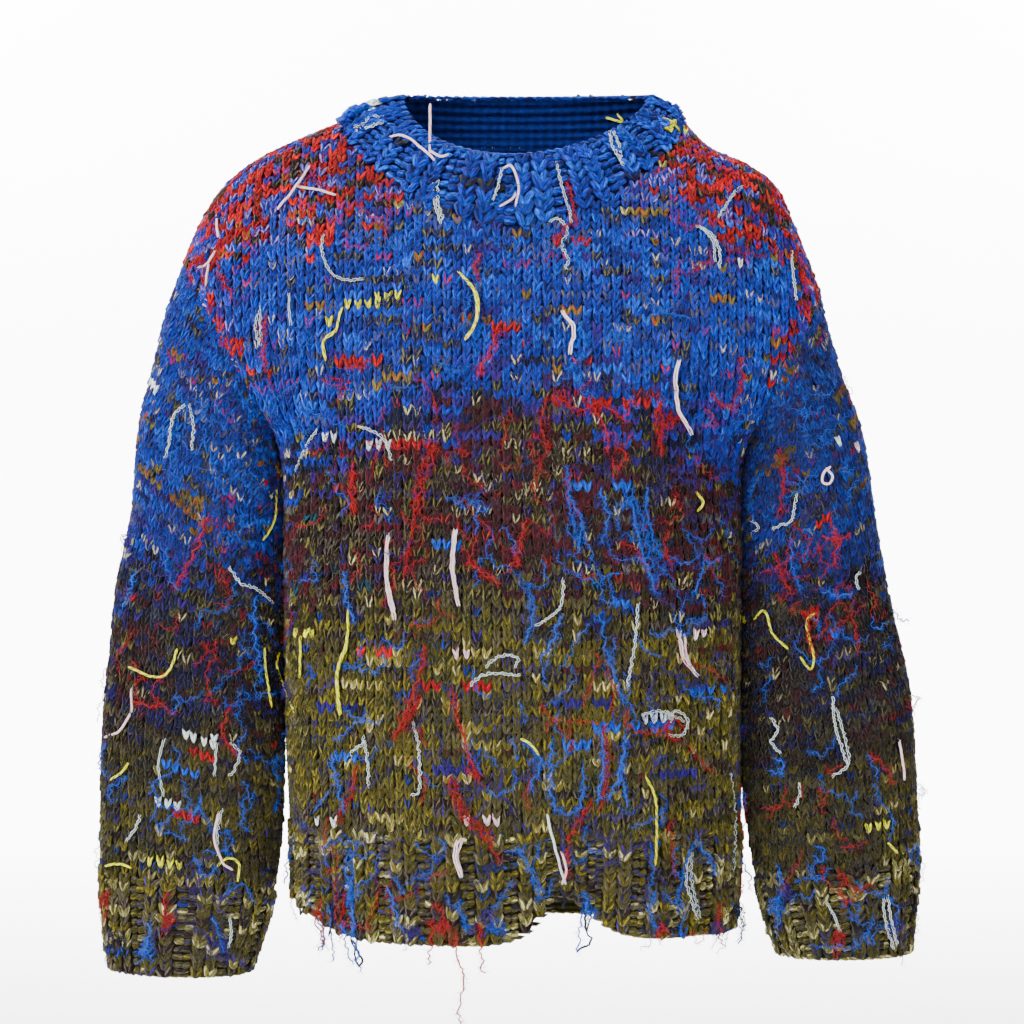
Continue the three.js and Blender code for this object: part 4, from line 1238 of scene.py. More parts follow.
# Painted shade: the sleeves and cuffs are darkened, the right ones most, where the light from the left falls
# weakest
PAINTED_SLEEVE_SHADE = {"sleeve_left": 0.64, "sleeve_right": 0.48, "cuff_left": 0.92, "cuff_right": 0.72}


def dressed(name, stitches):
    """Adds colours and sizes to a part's stitches, ready for the copies."""
    point = stood_on_wall(name, stitches["point"], stitches["out"])
    shade, marl = yarn_colours(ZONE_OF[name], point[:, 0], point[:, 2], stitches["row"])
    # Painted shade on the sleeves and cuffs
    shade, marl = shade * PAINTED_SLEEVE_SHADE.get(name, 1), marl * PAINTED_SLEEVE_SHADE.get(name, 1)
    vary = 1 + UNEVEN * rng.normal(0, 1, (len(point), 3)) * UNEVEN_AXES
    size = np.stack([stitches["width"], stitches["height"], stitches["width"]], -1) * vary
    if name == "back":
        shade, marl, size = darn(stitches, shade, marl, size, point[:, [0, 2]], DARNED_BACK, point[:, 1] > 0)
    elif "back" not in name:
        seen = stitches["out"][:, 1] < -0.1
        shade, marl, size = darn(stitches, shade, marl, size, pixel_of(point), DARNED, seen)
        rows = [(SOLID_ENDS[node][0], [SOLID_ENDS[node][2]]) for node in SHOWN_ROWS]
        shade, marl, size = darn(stitches, shade, marl, size, point[:, [0, 2]], rows, seen)
    lean = rng.normal(0, LEAN, point.shape)
    wander = rng.normal(0, WANDER, point.shape)
    return {
        "point": point + stitches["out"] * LIFT + wander, "out": unit(stitches["out"] + lean),
        "up": unit(stitches["up"] + rng.normal(0, LEAN, point.shape)), "size": size,
        "second": stitches["purl"], "shade": shade, "marl": marl, "twist": rng.random(len(point)),
    }


pieces = {}
for name, stitches in STITCHES.items():
    pieces[name + "_stitches"] = copies(name + "_stitches", dressed(name, stitches), KNIT, PURL, WOOL)
print("stitch pieces:", {name: len(piece.data.polygons) for name, piece in pieces.items()})

# %% [markdown]
# ## Seams and edges
# The sleeves are sewn in with slanting stitches, partly in red, and so are the sides and shoulders.
# The hem, the cuffs and the neckband end in a cast-off edge, one loop to each column.
# A sewing thread could be a curve, but the purl bump laid aslant along a line shows all of these.

# %% Sewn seams and cast-off edges
SEAM_STITCH = 5.2
SEAM_LENGTH = SEAM_STITCH * 1.5
SEAM_WIDTH = 6
ARMHOLE_WIDTH = 5.5
EDGE_LENGTH = 1.45
EDGE_WIDTH = 6.4
SEWN_THICK = 6.5
SEWN_SLANT = 0.5
SEWN_LIFT = 1.1
RED_SEAM_FOOT = -215
RED_SEAM_FROM = 215


def lying(point, out, spacing, height, row):
    """Stitches that lie along a line of points."""
    tangent = unit(np.gradient(point, axis=0))
    return lattice(point, out, np.cross(out, tangent), spacing, height, row, True)


def evenly(points, spacing):
    travelled = run_length(points)
    at = np.linspace(0, travelled[-1], max(2, int(travelled[-1] / spacing)))
    return along_line(points, travelled, at)


def armhole_seam(name):
    side = SIDES[name]
    low, high = side["armpit"][1], side["tip"][1]
    turn = np.linspace(0, 2 * np.pi, 240)
    z = (low + high) / 2 - (high - low) / 2 * np.cos(turn)
    x = side["sign"] * side_edge(side, z)
    depth = np.where(np.sin(turn) > 0, -ARMHOLE_DEPTH["front"], ARMHOLE_DEPTH["back"]) * np.abs(np.sin(turn))
    line = evenly(np.stack([x, depth, z], -1), SEAM_STITCH)
    centre = np.array([side["sign"] * (side["armpit"][0] + side["tip"][0]) / 2, 0, (low + high) / 2])
    return lying(line, unit(line - centre), SEAM_LENGTH, ARMHOLE_WIDTH, 0)


def side_seam(name):
    side = SIDES[name]
    z = np.linspace(PANEL_FOOT, side["armpit"][1], 120)
    line = evenly(np.stack([side["sign"] * side["seam"](z), 0 * z, z], -1), SEAM_STITCH)
    return lying(line, np.tile([side["sign"], 0.0, 0.0], (len(line), 1)), SEAM_LENGTH, SEAM_WIDTH, 1)


def shoulder_seam(name):
    side = SIDES[name]
    z = np.linspace(side["tip"][1], NECK_POINT, 120)
    line = evenly(np.stack([side["sign"] * side["shoulder"](z), 0 * z, z], -1), SEAM_STITCH)
    along = unit(np.gradient(line, axis=0))
    out = np.stack([-along[:, 2], 0 * along[:, 0], along[:, 0]], -1)
    return lying(line, out * np.sign(out[:, 2:3]), SEAM_LENGTH, SEAM_WIDTH, 2)


def ring_edge(outer, inner, columns, out, row):
    """A cast-off edge on the middle of a wall's rim."""
    rim = evenly((outer + inner) / 2, np.linalg.norm(np.diff(outer, axis=0), axis=1).sum() / columns)
    spacing = np.linalg.norm(np.diff(rim, axis=0), axis=1).mean()
    return lying(rim, np.tile(out, (len(rim), 1)), spacing * EDGE_LENGTH, EDGE_WIDTH, row)


def hem_edge(face):
    share = np.sin(np.linspace(-np.pi / 2, np.pi / 2, RING_STEPS)) * NEARLY_ALL
    foot = HEM[face](share * reach(share, np.full_like(share, HEM_MIDDLE)))
    outer = body_point(face, share * reach(share, foot), foot + 1)
    inner = outer * [0.985, 1, 1] - [0, TOWARDS[face] * 3.2, 0]
    return ring_edge(outer, inner, HEM_WALES, [0.0, 0.0, -1.0], 3)


def cuff_edge(name):
    around = np.linspace(0, 1, 200)
    return ring_edge(sleeve_point(name, 0.998, around), sleeve_point(name, 0.998, around, -3.4), CUFF_WALES,
                     [0.0, 0.0, -1.0], 4)


def band_edge():
    turn = np.linspace(0, 1, RING_STEPS)
    outer = band_point(turn, 0.99)
    inner = outer - np.stack([np.sin(turn * 2 * np.pi), -np.cos(turn * 2 * np.pi), 0 * turn], -1) * 3
    return ring_edge(outer, inner, BAND_WALES, [0.0, 0.0, 1.0], 5)


def seam_zone(x, z, soft):
    zone = body_zone(x, z, soft)
    zone[(z > RED_SEAM_FOOT) & (np.abs(x) > RED_SEAM_FROM)] = "red"
    return zone


def sewn(part, zone_of):
    shade, marl = yarn_colours(zone_of, part["point"][:, 0], part["point"][:, 2], part["row"])
    size = np.stack([part["width"], part["height"], np.full(len(part["point"]), SEWN_THICK)], -1)
    turned = unit(part["up"] + SEWN_SLANT * np.cross(part["out"], part["up"]))
    return {"point": part["point"] + part["out"] * SEWN_LIFT, "out": part["out"], "up": turned, "size": size,
            "second": part["purl"], "shade": shade, "marl": marl, "twist": rng.random(len(part["point"]))}


SEAM_PARTS = [(maker(name), seam_zone) for maker in (armhole_seam, side_seam, shoulder_seam)
              for name in ("left", "right")]
SEAM_PARTS += [(hem_edge(face), plain_zone("rib")) for face in ("front", "back")]
SEAM_PARTS += [(cuff_edge(name), plain_zone("rib")) for name in ("left", "right")]
SEAM_PARTS.append((band_edge(), plain_zone("band")))
pieces["seams_and_edges"] = copies(
    "seams_and_edges", joined([sewn(part, zone_of) for part, zone_of in SEAM_PARTS]), KNIT, PURL, WOOL)
print("sewn and cast-off stitches:", sum(len(part["point"]) for part, _ in SEAM_PARTS))

# %% [markdown]
# ## Loose yarn ends
# Each darned row leaves its two ends on the outside, and some were knotted on later.
# Yellow and pink yarn is smooth, white yarn is thin and looped, and red and blue yarn is hairy mohair.
# Random ends would look alike but not be these, so each is charted by the pixels that it passes.

# %% Strands, by pixel
KINDS_OF_YARN = {
    "smooth": {"radius": 1.15, "wave": 0.25, "pitch": 26, "sides": 5},
    "doubled": {"radius": 0.78, "wave": 0.3, "pitch": 17, "sides": 5},
    "boucle": {"radius": 0.37, "wave": 0.5, "pitch": 5.2, "sides": 4},
    "hidden": {"radius": 0.6, "wave": 0.2, "pitch": 9, "sides": 4},
    "mohair": {"radius": 0.78, "wave": 1.3, "pitch": 8, "sides": 3},
    "thread": {"radius": 1.05, "wave": 0.7, "pitch": 9, "sides": 4},
    "wisp": {"radius": 0.42, "wave": 1.5, "pitch": 7, "sides": 3},
}
# Strands by pixel: yarn kind, then for each strand the places it passes
YELLOW = [
    ("smooth", [
        [(334, 331), (323, 341), (325, 360)], [(466, 281), (477, 296), (476, 321), (465, 340)],
        [(348, 608), (346, 640), (336, 676), (339, 715)], [(282, 643), (277, 667), (295, 714)],
        [(264, 644), (266, 674), (271, 707)], [(276, 485), (274, 520), (263, 540)],
        [(178, 645), (169, 670), (154, 677), (128, 667)], [(128, 763), (119, 774), (110, 780)],
        [(103, 866), (119, 864), (130, 868)], [(216, 867), (228, 858), (239, 864), (237, 881)],
        [(753, 620), (764, 611), (772, 633), (787, 649)],
        [(818, 611), (806, 622), (813, 657), (809, 669), (800, 657)],
        [(695, 491), (703, 502), (697, 511)], [(644, 774), (655, 800), (656, 841), (655, 865)],
        [(520, 739), (530, 744), (538, 755)], [(887, 842), (897, 853)],
        [(660, 118), (672, 122), (680, 132)], [(606, 118), (622, 122), (617, 114)],
    ]),
]
PINK = [
    ("smooth", [
        [(385, 138), (404, 136), (427, 153), (434, 160)], [(430, 158), (429, 132), (430, 104)],
        [(428, 150), (440, 156), (448, 154)],
        [(501, 170), (510, 165), (516, 175), (518, 190), (515, 206)],
        [(516, 192), (510, 200), (499, 206)], [(310, 165), (294, 188), (277, 209)],
        [(296, 186), (318, 190), (335, 195)], [(216, 214), (217, 237)],
        [(215, 250), (206, 264), (197, 268)], [(208, 262), (205, 285)],
    ]),
    ("doubled", [
        [(560, 310), (572, 329), (568, 354)], [(678, 356), (674, 382), (678, 412), (691, 435)],
        [(455, 526), (451, 564), (457, 606)], [(386, 546), (385, 582), (393, 620)],
        [(677, 637), (684, 661), (697, 677)],
    ]),
    ("smooth", [
        [(684, 634), (686, 656), (694, 672)], [(131, 712), (120, 730), (104, 737)],
        [(131, 688), (131, 712)],
    ]),
    ("doubled", [[(458, 835), (453, 854), (459, 878)]]),
    ("smooth", [
        [(463, 838), (457, 856), (462, 876)],
        [(831, 466), (824, 472), (822, 482), (829, 484), (832, 476), (826, 468)],
        [(898, 738), (902, 758), (904, 780)], [(560, 850), (566, 870), (562, 884)],
        [(218, 812), (214, 838), (222, 862), (232, 870)],
    ]),
]
WHITE = [
    ("boucle", [
        [(434, 168), (432, 196), (439, 223)], [(437, 168), (436, 200), (442, 220)],
        [(350, 128), (362, 126), (371, 117), (382, 118)], [(353, 132), (368, 128), (384, 122)],
        [(501, 167), (497, 184), (492, 200)], [(555, 161), (561, 188), (568, 210), (570, 223)],
        [(547, 226), (556, 219), (566, 230), (560, 246), (567, 258), (564, 269)],
        [(608, 131), (612, 148), (623, 166)], [(611, 130), (618, 146), (620, 164)],
        [(322, 229), (321, 254), (332, 275), (350, 281), (363, 279)],
        [(257, 311), (254, 328), (258, 345)], [(691, 225), (709, 233), (718, 250), (718, 268)],
        [(696, 224), (711, 240), (714, 262)], [(751, 183), (737, 188), (730, 197), (717, 217)],
        [(790, 248), (792, 274), (795, 300)], [(187, 401), (172, 416), (168, 440), (164, 458)],
        [(187, 401), (192, 426), (190, 450)], [(354, 426), (372, 432), (384, 442), (390, 461)],
        [(318, 426), (306, 444), (294, 470)], [(226, 564), (239, 583), (256, 590), (273, 604)],
        [(227, 742), (238, 752), (234, 768), (228, 776)], [(140, 812), (134, 828), (125, 841)],
        [(221, 807), (216, 832), (217, 856)], [(228, 916), (230, 932), (227, 948)],
        [(562, 576), (560, 604), (548, 617), (534, 625)], [(637, 598), (634, 640), (626, 686)],
        [(484, 670), (494, 660), (506, 656), (516, 658), (514, 668)],
        [(468, 688), (486, 675), (520, 676)], [(411, 720), (417, 747), (418, 789), (410, 795)],
        [(361, 733), (366, 760), (367, 787)], [(366, 740), (352, 750), (350, 756)],
        [(796, 490), (790, 520), (780, 524), (771, 529)],
        [(744, 520), (752, 522), (757, 528), (750, 533)], [(860, 570), (855, 578), (857, 590)],
        [(831, 692), (834, 726), (846, 765)], [(768, 715), (776, 730), (770, 742), (779, 754)],
        [(798, 781), (798, 796), (793, 807)], [(833, 704), (842, 732), (847, 763), (831, 776)],
        [(822, 899), (832, 914), (839, 933)], [(882, 895), (884, 920), (892, 949)],
        [(886, 893), (890, 920), (896, 945)], [(727, 763), (732, 796), (734, 830), (732, 872)],
        [(687, 852), (685, 881), (690, 900), (697, 923)], [(691, 850), (690, 880), (699, 918)],
    ]),
    ("smooth", [[(546, 811), (554, 846), (565, 884)]]),
    ("boucle", [
        [(640, 716), (660, 712), (684, 722)],
        [(664, 722), (676, 712), (686, 720), (682, 734), (668, 734)],
    ]),
]
RED = [
    ("mohair", [
        [(267, 315), (262, 346), (270, 382)], [(340, 357), (354, 368), (372, 360)],
        [(500, 325), (490, 350), (476, 375)], [(438, 434), (430, 464), (419, 494), (403, 577)],
        [(351, 468), (350, 490), (353, 515)], [(468, 561), (484, 574), (500, 583)],
        [(527, 518), (520, 544), (516, 567)], [(549, 393), (580, 410), (600, 402), (627, 423)],
        [(660, 396), (656, 426), (662, 456)], [(612, 448), (626, 452), (618, 468), (610, 458)],
        [(668, 526), (664, 548), (673, 569)], [(619, 542), (636, 550), (649, 572)],
        [(737, 353), (742, 380), (730, 410)], [(709, 391), (722, 404), (738, 406)],
        [(208, 512), (196, 548), (174, 587)], [(421, 694), (410, 716), (393, 737)],
        [(424, 640), (420, 672), (402, 720)], [(604, 720), (606, 764), (601, 809)],
        [(447, 771), (454, 798), (465, 819), (484, 838), (500, 862)],
        [(450, 774), (462, 806), (480, 826), (494, 841)], [(670, 817), (670, 850), (674, 878)],
        [(684, 729), (675, 740), (664, 730), (674, 720), (684, 728)],
        [(166, 890), (164, 908), (168, 923)], [(779, 444), (783, 480), (778, 516)],
        [(774, 551), (780, 572), (790, 592)], [(829, 514), (836, 540), (833, 566)],
        [(820, 536), (834, 540), (850, 534)], [(868, 750), (882, 764), (894, 784)],
        [(837, 868), (854, 889), (871, 884)], [(914, 767), (922, 790), (932, 809)],
        [(480, 252), (476, 268), (480, 282)], [(566, 178), (572, 200), (576, 226)],
        [(574, 218), (560, 232), (556, 240)], [(196, 240), (188, 262), (196, 284)],
        [(222, 232), (216, 262), (232, 298)], [(790, 236), (800, 262), (806, 300)],
        [(320, 902), (322, 926), (320, 944)], [(286, 586), (292, 616), (284, 640)],
        [(740, 790), (738, 850), (742, 894)], [(720, 900), (718, 924), (722, 946)],
        [(356, 762), (352, 790), (336, 822)], [(594, 796), (570, 836), (566, 878)],
        [(232, 700), (222, 730), (236, 756)], [(128, 700), (150, 706), (164, 702)],
        [(325, 895), (314, 918), (324, 938), (317, 950)], [(344, 888), (342, 912), (340, 938)],
        [(434, 900), (444, 918), (444, 934)],
    ]),
]
BLUE = [
    ("mohair", [
        [(565, 461), (570, 496), (581, 521), (578, 553)], [(630, 496), (640, 546), (657, 594)],
        [(646, 483), (648, 520), (660, 556)], [(343, 569), (346, 598), (354, 623)],
        [(533, 594), (532, 620), (524, 642)], [(600, 607), (606, 650), (624, 704)],
        [(703, 558), (700, 578), (692, 596)],
        [(552, 736), (550, 776), (556, 809), (577, 811), (582, 790), (583, 766)],
        [(625, 744), (620, 770), (609, 798)], [(517, 846), (530, 870), (544, 894)],
        [(331, 752), (336, 780), (344, 811)], [(347, 851), (346, 872), (352, 894)],
        [(350, 848), (352, 880), (346, 906)], [(192, 854), (204, 876), (217, 865)],
        [(149, 921), (148, 938), (144, 954)], [(212, 916), (218, 934), (224, 952)],
        [(790, 533), (792, 566), (800, 590)], [(820, 590), (838, 596), (852, 592)],
        [(772, 758), (782, 762), (780, 774), (770, 770)],
        [(814, 846), (824, 850), (822, 860), (812, 856)], [(777, 863), (782, 891), (770, 903)],
        [(585, 902), (580, 926), (577, 952)], [(351, 940), (348, 956), (358, 968), (362, 950)],
        [(315, 915), (324, 936), (322, 950)], [(340, 915), (346, 946), (352, 964)],
        [(730, 900), (742, 920), (738, 944)], [(480, 208), (500, 200), (520, 182)],
        [(488, 268), (470, 300), (462, 330)], [(436, 356), (452, 372), (470, 366)],
        [(578, 320), (584, 350), (566, 370)], [(256, 590), (254, 630), (262, 680)],
        [(270, 760), (278, 790), (272, 812)], [(640, 290), (660, 310), (690, 318)],
        [(520, 740), (540, 760), (528, 790)], [(694, 838), (684, 868), (676, 904)],
        [(694, 838), (708, 856), (716, 874)], [(136, 566), (130, 590), (122, 610)],
        [(886, 600), (896, 616), (908, 622)], [(560, 612), (552, 640), (540, 662)],
        [(656, 888), (650, 910), (656, 930)], [(170, 540), (166, 566), (176, 590)],
        [(760, 470), (750, 500), (756, 524)], [(350, 900), (354, 920), (351, 938)],
        [(385, 885), (392, 898), (398, 926), (404, 931)],
        [(460, 897), (458, 907), (466, 924), (464, 932)], [(531, 878), (541, 898)],
        [(346, 882), (360, 890), (348, 900), (356, 886)], [(582, 890), (588, 904), (584, 914)],
    ]),
]
INK = [
    ("thread", [
        [(350, 930), (353, 946), (357, 966), (361, 962), (358, 952), (352, 940)],
        [(330, 936), (340, 944), (330, 950), (338, 946), (342, 961)],
        [(586, 898), (590, 907), (590, 921), (585, 931), (591, 938), (586, 946), (576, 952)],
        [(582, 902), (585, 921), (586, 932)], [(298, 900), (300, 914), (304, 906)],
        [(328, 900), (332, 920), (328, 936)], [(560, 888), (564, 898), (563, 908)],
    ]),
]
# Ends on the back and on the backs of the sleeves, by their places in millimetres
BACK_ENDS = {
    "red": [
        ("mohair", [[(-120, -150), (-112, -185), (-126, -214)], [(60, -230), (74, -262), (66, -300)],
            [(150, -420), (138, -452), (146, -490)], [(-60, -520), (-74, -556), (-62, -590)],
            [(-150, -330), (-138, -366), (-144, -398)], [(30, -600), (42, -632), (30, -664)]]),
    ],
    "azure": [
        ("mohair", [[(-40, -300), (-28, -340), (-44, -372)], [(110, -330), (120, -372), (108, -410)],
            [(0, -420), (14, -452), (4, -486)], [(-110, -610), (-120, -640), (-106, -668)],
            [(160, -560), (150, -600), (158, -634)], [(-286, -300), (-292, -340), (-280, -372)],
            [(282, -520), (290, -556), (280, -590)]]),
    ],
    "white": [
        ("boucle", [[(-20, -130), (-10, -158), (-22, -182)], [(120, -210), (130, -236), (122, -262)],
            [(-80, -430), (-72, -462), (-84, -488)], [(-284, -460), (-276, -486), (-288, -510)],
            [(60, -520), (52, -548), (62, -574)]]),
    ],
    "pink": [
        ("doubled", [[(80, -120), (88, -150), (78, -178)], [(-130, -480), (-138, -512), (-128, -540)]]),
        ("smooth", [[(284, -400), (292, -430), (284, -452)]]),
    ],
    "yellow": [
        ("smooth", [[(-60, -240), (-70, -270), (-58, -300)], [(20, -350), (32, -380), (20, -410)],
            [(120, -640), (110, -664), (118, -684)], [(-290, -560), (-280, -590), (-290, -612)]]),
    ],
}
# Ends that hang over the outline, by pixel
OUTLINE_ENDS = {
    "red": [
        ("mohair", [[(200, 226), (190, 244), (184, 262)], [(196, 252), (190, 272), (194, 288)],
            [(112, 888), (102, 900), (98, 914)]]),
        ("wisp", [[(838, 372), (850, 388), (848, 408)], [(906, 684), (920, 700), (916, 716)]]),
        ("mohair", [[(912, 744), (922, 770), (930, 800)]]),
        ("wisp", [[(300, 884), (291, 900), (296, 920)], [(736, 776), (745, 804), (742, 836)],
            [(690, 926), (698, 944), (706, 930)]]),
    ],
    "ink": [
        ("wisp", [[(150, 436), (143, 456), (146, 474)]]),
        ("thread", [[(114, 612), (104, 622), (106, 634), (113, 630)]]),
        ("wisp", [[(108, 690), (99, 704), (98, 722)], [(900, 622), (914, 640), (924, 652)]]),
        ("thread", [[(906, 650), (918, 662), (912, 676)]]),
        ("wisp", [[(908, 900), (917, 922), (912, 944)], [(732, 900), (745, 918), (737, 942)]]),
    ],
    "azure": [
        ("wisp", [[(134, 506), (126, 526), (122, 546)]]),
        ("mohair", [[(108, 740), (99, 758), (102, 776)]]),
        ("wisp", [[(106, 822), (97, 846), (96, 872)], [(876, 520), (888, 540), (884, 560)],
            [(912, 846), (923, 864), (920, 884)], [(292, 466), (281, 486), (280, 508)]]),
        ("mohair", [[(292, 556), (280, 574), (277, 596)]]),
        ("wisp", [[(292, 726), (280, 742), (279, 762)]]),
        ("mohair", [[(298, 836), (287, 858), (286, 884)]]),
        ("wisp", [[(738, 694), (747, 716), (745, 742)]]),
        ("mohair", [[(736, 856), (748, 872), (750, 890)]]),
        ("wisp", [[(768, 900), (779, 920), (774, 940)]]),
    ],
    "purple": [
        ("wisp", [[(112, 660), (102, 678), (104, 694)], [(114, 930), (104, 946), (108, 966)],
            [(914, 790), (925, 814), (920, 838)], [(888, 930), (902, 948), (900, 966)],
            [(292, 636), (280, 656), (276, 678)], [(718, 922), (727, 938), (716, 954)],
            [(640, 926), (652, 938), (640, 950)]]),
    ],
}
KIND_OF = {"yellow": "smooth", "pink": "doubled", "white": "boucle", "red": "mohair", "azure": "mohair"}


charted = [lines for chart in (YELLOW, PINK, WHITE, RED, BLUE, INK) for _, lines in chart]
print("charted strands:", sum(len(lines) for lines in charted))

# %% [markdown]
# ## Laying the ends on the cloth
# An end comes out between two stitches, lies on the cloth and hangs free where the cloth stops.
# A rope simulation could find its way down, but rays find the same places each time.
# The path is lifted off the cloth by its own radius and some slack, and then it wanders a little.

# %% Paths of the strands
STAND = 2.9
HIDDEN_DEPTH = 4.4
STRAND_STEP = 2.8
FINE_STEP = 1.3
FAR = 600
SAME_CLOTH = 70
STEADY_OVER = 5
ROOT_SHARE = 0.1
ROOT_DEPTH = 2
END_SLACK = 0.5
STEADY_LENGTH = 8


def smooth_line(points, step):
    """A curve through all the points, with places about one step apart."""
    points = np.array(points, float)
    padded = np.concatenate([[2 * points[0] - points[1]], points, [2 * points[-1] - points[-2]]])
    found = []
    for a, b, c, d in zip(padded[:-3], padded[1:-2], padded[2:-1], padded[3:]):
        count = max(2, int(np.ceil(np.linalg.norm(c - b) / step)))
        t = np.arange(count)[:, None] / count
        squared, cubed = 2 * a - 5 * b + 4 * c - d, 3 * b - a - 3 * c + d
        found.append((2 * b + (c - a) * t + squared * t**2 + cubed * t**3) / 2)
    return np.concatenate(found + [points[-1:]])


def pixel_rays(line):
    return [(EYE, through_pixel(px, py)) for px, py in line]


def level_rays(line, face):
    """Rays from straight ahead (1) or straight behind (-1) through places in millimetres."""
    return [(Vector((x, -face * FAR, z)), Vector((0, face, 0))) for x, z in line]


def laid(rays, radius, slack):
    """Places along a strand: on the cloth, lifted off it, and hanging straight where the cloth ends."""
    away = []
    for origin, ray in rays:
        place, _, _, distance = CLOTH.ray_cast(origin, ray)
        away.append(distance if place is not None else np.nan)
    away = np.array(away, float)
    if np.isnan(away).all():
        return None
    away[away > np.nanmin(away) + SAME_CLOTH] = np.nan
    known = np.flatnonzero(~np.isnan(away))
    away = np.interp(np.arange(len(away)), known, away[known])
    padded = np.pad(away, STEADY_OVER // 2, mode="edge")
    away = np.convolve(padded, np.ones(STEADY_OVER) / STEADY_OVER, "valid")
    share = np.linspace(0, 1, len(away))
    inside = 1 - smooth(share, 0, ROOT_SHARE)
    loose = slack * np.sin(np.pi * share) + slack * END_SLACK * share
    lift = STAND + radius + loose - inside * (STAND + ROOT_DEPTH)
    starts, ways = (np.array(part) for part in zip(*rays))
    return starts + ways * (away - lift)[:, None]


def waved(path, wave, pitch):
    """Wanders about the path, less at its start."""
    travelled = run_length(path)
    along = unit(np.gradient(path, axis=0))
    side = unit(np.cross(along, [0.02, 1, 0.05]))
    start, quick = rng.uniform(0, 2 * np.pi, 2)
    fade = smooth(travelled, 0, STEADY_LENGTH)[:, None]
    uneven = travelled + pitch * 0.3 * np.sin(travelled / pitch * 2.3 + quick)
    sway = np.sin(uneven / pitch * 2 * np.pi + start) + 0.6 * np.sin(travelled / pitch * 3.7 + quick)
    bob = np.cos(travelled / pitch * 5.1 + quick)
    return path + side * (wave * sway)[:, None] * fade + np.array([0, -0.5, 0]) * (wave * bob)[:, None] * fade


print("places on the first yellow strand:", len(smooth_line(YELLOW[0][1][0], STRAND_STEP)))

# %% [markdown]
# ## Yarn and hair
# Yarn is a round tube. Looped and doubled yarn has two of them, and mohair has many fine hairs.
# A curve with a bevel makes a tube too, but this one carries colours and UVs like the stitches.
# A hair is a flat blade of two faces, laid out by the same node tree as the stitches.

# %% Tubes and hairs
TIP_TAPER = 0.7
TIP_LENGTH = 0.6
LAY_LENGTH = 7
HAIRS_PER_MM = {"mohair": 1.8, "wisp": 1.0}
HAIR_LENGTHS = {"mohair": 9, "wisp": 6}
HAIR_LEAST = 0.35
HAIR_DROOP = [0, 0, -0.5]
HAIR_RADIUS = 0.17
SLACK = (0.5, 4.5)
STRANDS_APART = {"boucle": 1.35, "doubled": 1.8}
BESIDE_PITCH = 0.8


class Tubes:
    """Collects closed tubes of yarn into one mesh."""

    def __init__(self):
        self.vertices, self.faces, self.uvs, self.shade, self.marl, self.twist = [], [], [], [], [], []
        self.count = 0

    def add(self, path, radius, sides, shade, marl):
        along = unit(np.gradient(path, axis=0))
        side = np.zeros_like(path)
        side[0] = unit(np.cross(along[0], [0.31, 1, 0.17]))
        for i in range(1, len(path)):
            side[i] = unit(side[i - 1] - along[i] * (side[i - 1] @ along[i]))
        other = np.cross(along, side)
        turn = np.arange(sides) / sides * 2 * np.pi
        taper = np.ones(len(path))
        taper[-1] = TIP_TAPER
        ring = path[:, None] + radius * taper[:, None, None] * (
            side[:, None] * np.cos(turn)[None, :, None] + other[:, None] * np.sin(turn)[None, :, None])
        reach_out = radius * TIP_LENGTH
        tips = np.stack([path[0] - along[0] * reach_out, path[-1] + along[-1] * reach_out])
        start, last = self.count, self.count + len(path) * sides
        travelled = run_length(path) / (LAY_LENGTH * radius)
        for i in range(len(path) - 1):
            for s in range(sides):
                a, b = start + i * sides + s, start + i * sides + (s + 1) % sides
                self.faces.append((a, b, b + sides, a + sides))
                u0, u1 = s / sides, (s + 1) / sides
                v0, v1 = travelled[i], travelled[i + 1]
                self.uvs += [(u0, v0), (u1, v0), (u1, v1), (u0, v1)]
        for s in range(sides):
            self.faces.append((start + (s + 1) % sides, start + s, last))
            self.faces.append((last - sides + s, last - sides + (s + 1) % sides, last + 1))
            self.uvs += [(0, 0)] * 6
        self.vertices.append(np.concatenate([ring.reshape(-1, 3), tips]))
        count = len(path) * sides + 2
        self.count += count
        self.shade.append(np.tile(shade, (count, 1)))
        self.marl.append(np.tile(marl, (count, 1)))
        self.twist.append(np.full(count, rng.random()))

    def build(self, name, material):
        mesh = uv_mesh(name, np.concatenate(self.vertices) * MM, self.faces, self.uvs)
        write_attribute(mesh, "shade", "FLOAT_COLOR", np.concatenate(self.shade))
        write_attribute(mesh, "marl", "FLOAT_COLOR", np.concatenate(self.marl))
        write_attribute(mesh, "twist", "FLOAT", np.concatenate(self.twist))
        mesh.materials.append(material)
        return put(name, mesh)


def hair_shape(name, bend):
    """A bent hair as a flat blade with a point. Units: its radius across, its length up along Z."""
    vertices = [(-1.0, 0.0, 0.0), (1.0, 0.0, 0.0), (bend - 0.75, 0.4, 0.5), (bend + 0.75, -0.4, 0.5)]
    vertices.append((-bend * 0.4, bend * 0.5, 1.0))
    return shape(name, [(vertices, [(0, 1, 3, 2), (2, 3, 4)], [(0, 0)] * 7)])


HAIR_ONE = hair_shape("hair_one", 9)
HAIR_TWO = hair_shape("hair_two", -14)


def hairs(name, radius, point, out, length, shade):
    count = len(point)
    radius = np.full(count, radius)
    up = unit(rng.normal(0, 1, (count, 3)))
    up = unit(up - out * np.sum(up * out, axis=1, keepdims=True))
    return copies(name, {
        "point": point, "out": out, "up": up, "size": np.stack([radius, radius, length], -1),
        "second": rng.random(count) < 0.5, "shade": shade, "marl": shade, "twist": rng.random(count),
    }, HAIR_ONE, HAIR_TWO, HAIR)


def hair_roots(path, per_mm, longest):
    travelled = run_length(path)
    count = int(travelled[-1] * per_mm)
    at = rng.uniform(0, travelled[-1], count)
    roots = along_line(path, travelled, at)
    out = unit(rng.normal(0, 1, (count, 3)) + HAIR_DROOP)
    return roots, out, rng.uniform(HAIR_LEAST, 1, count) * longest


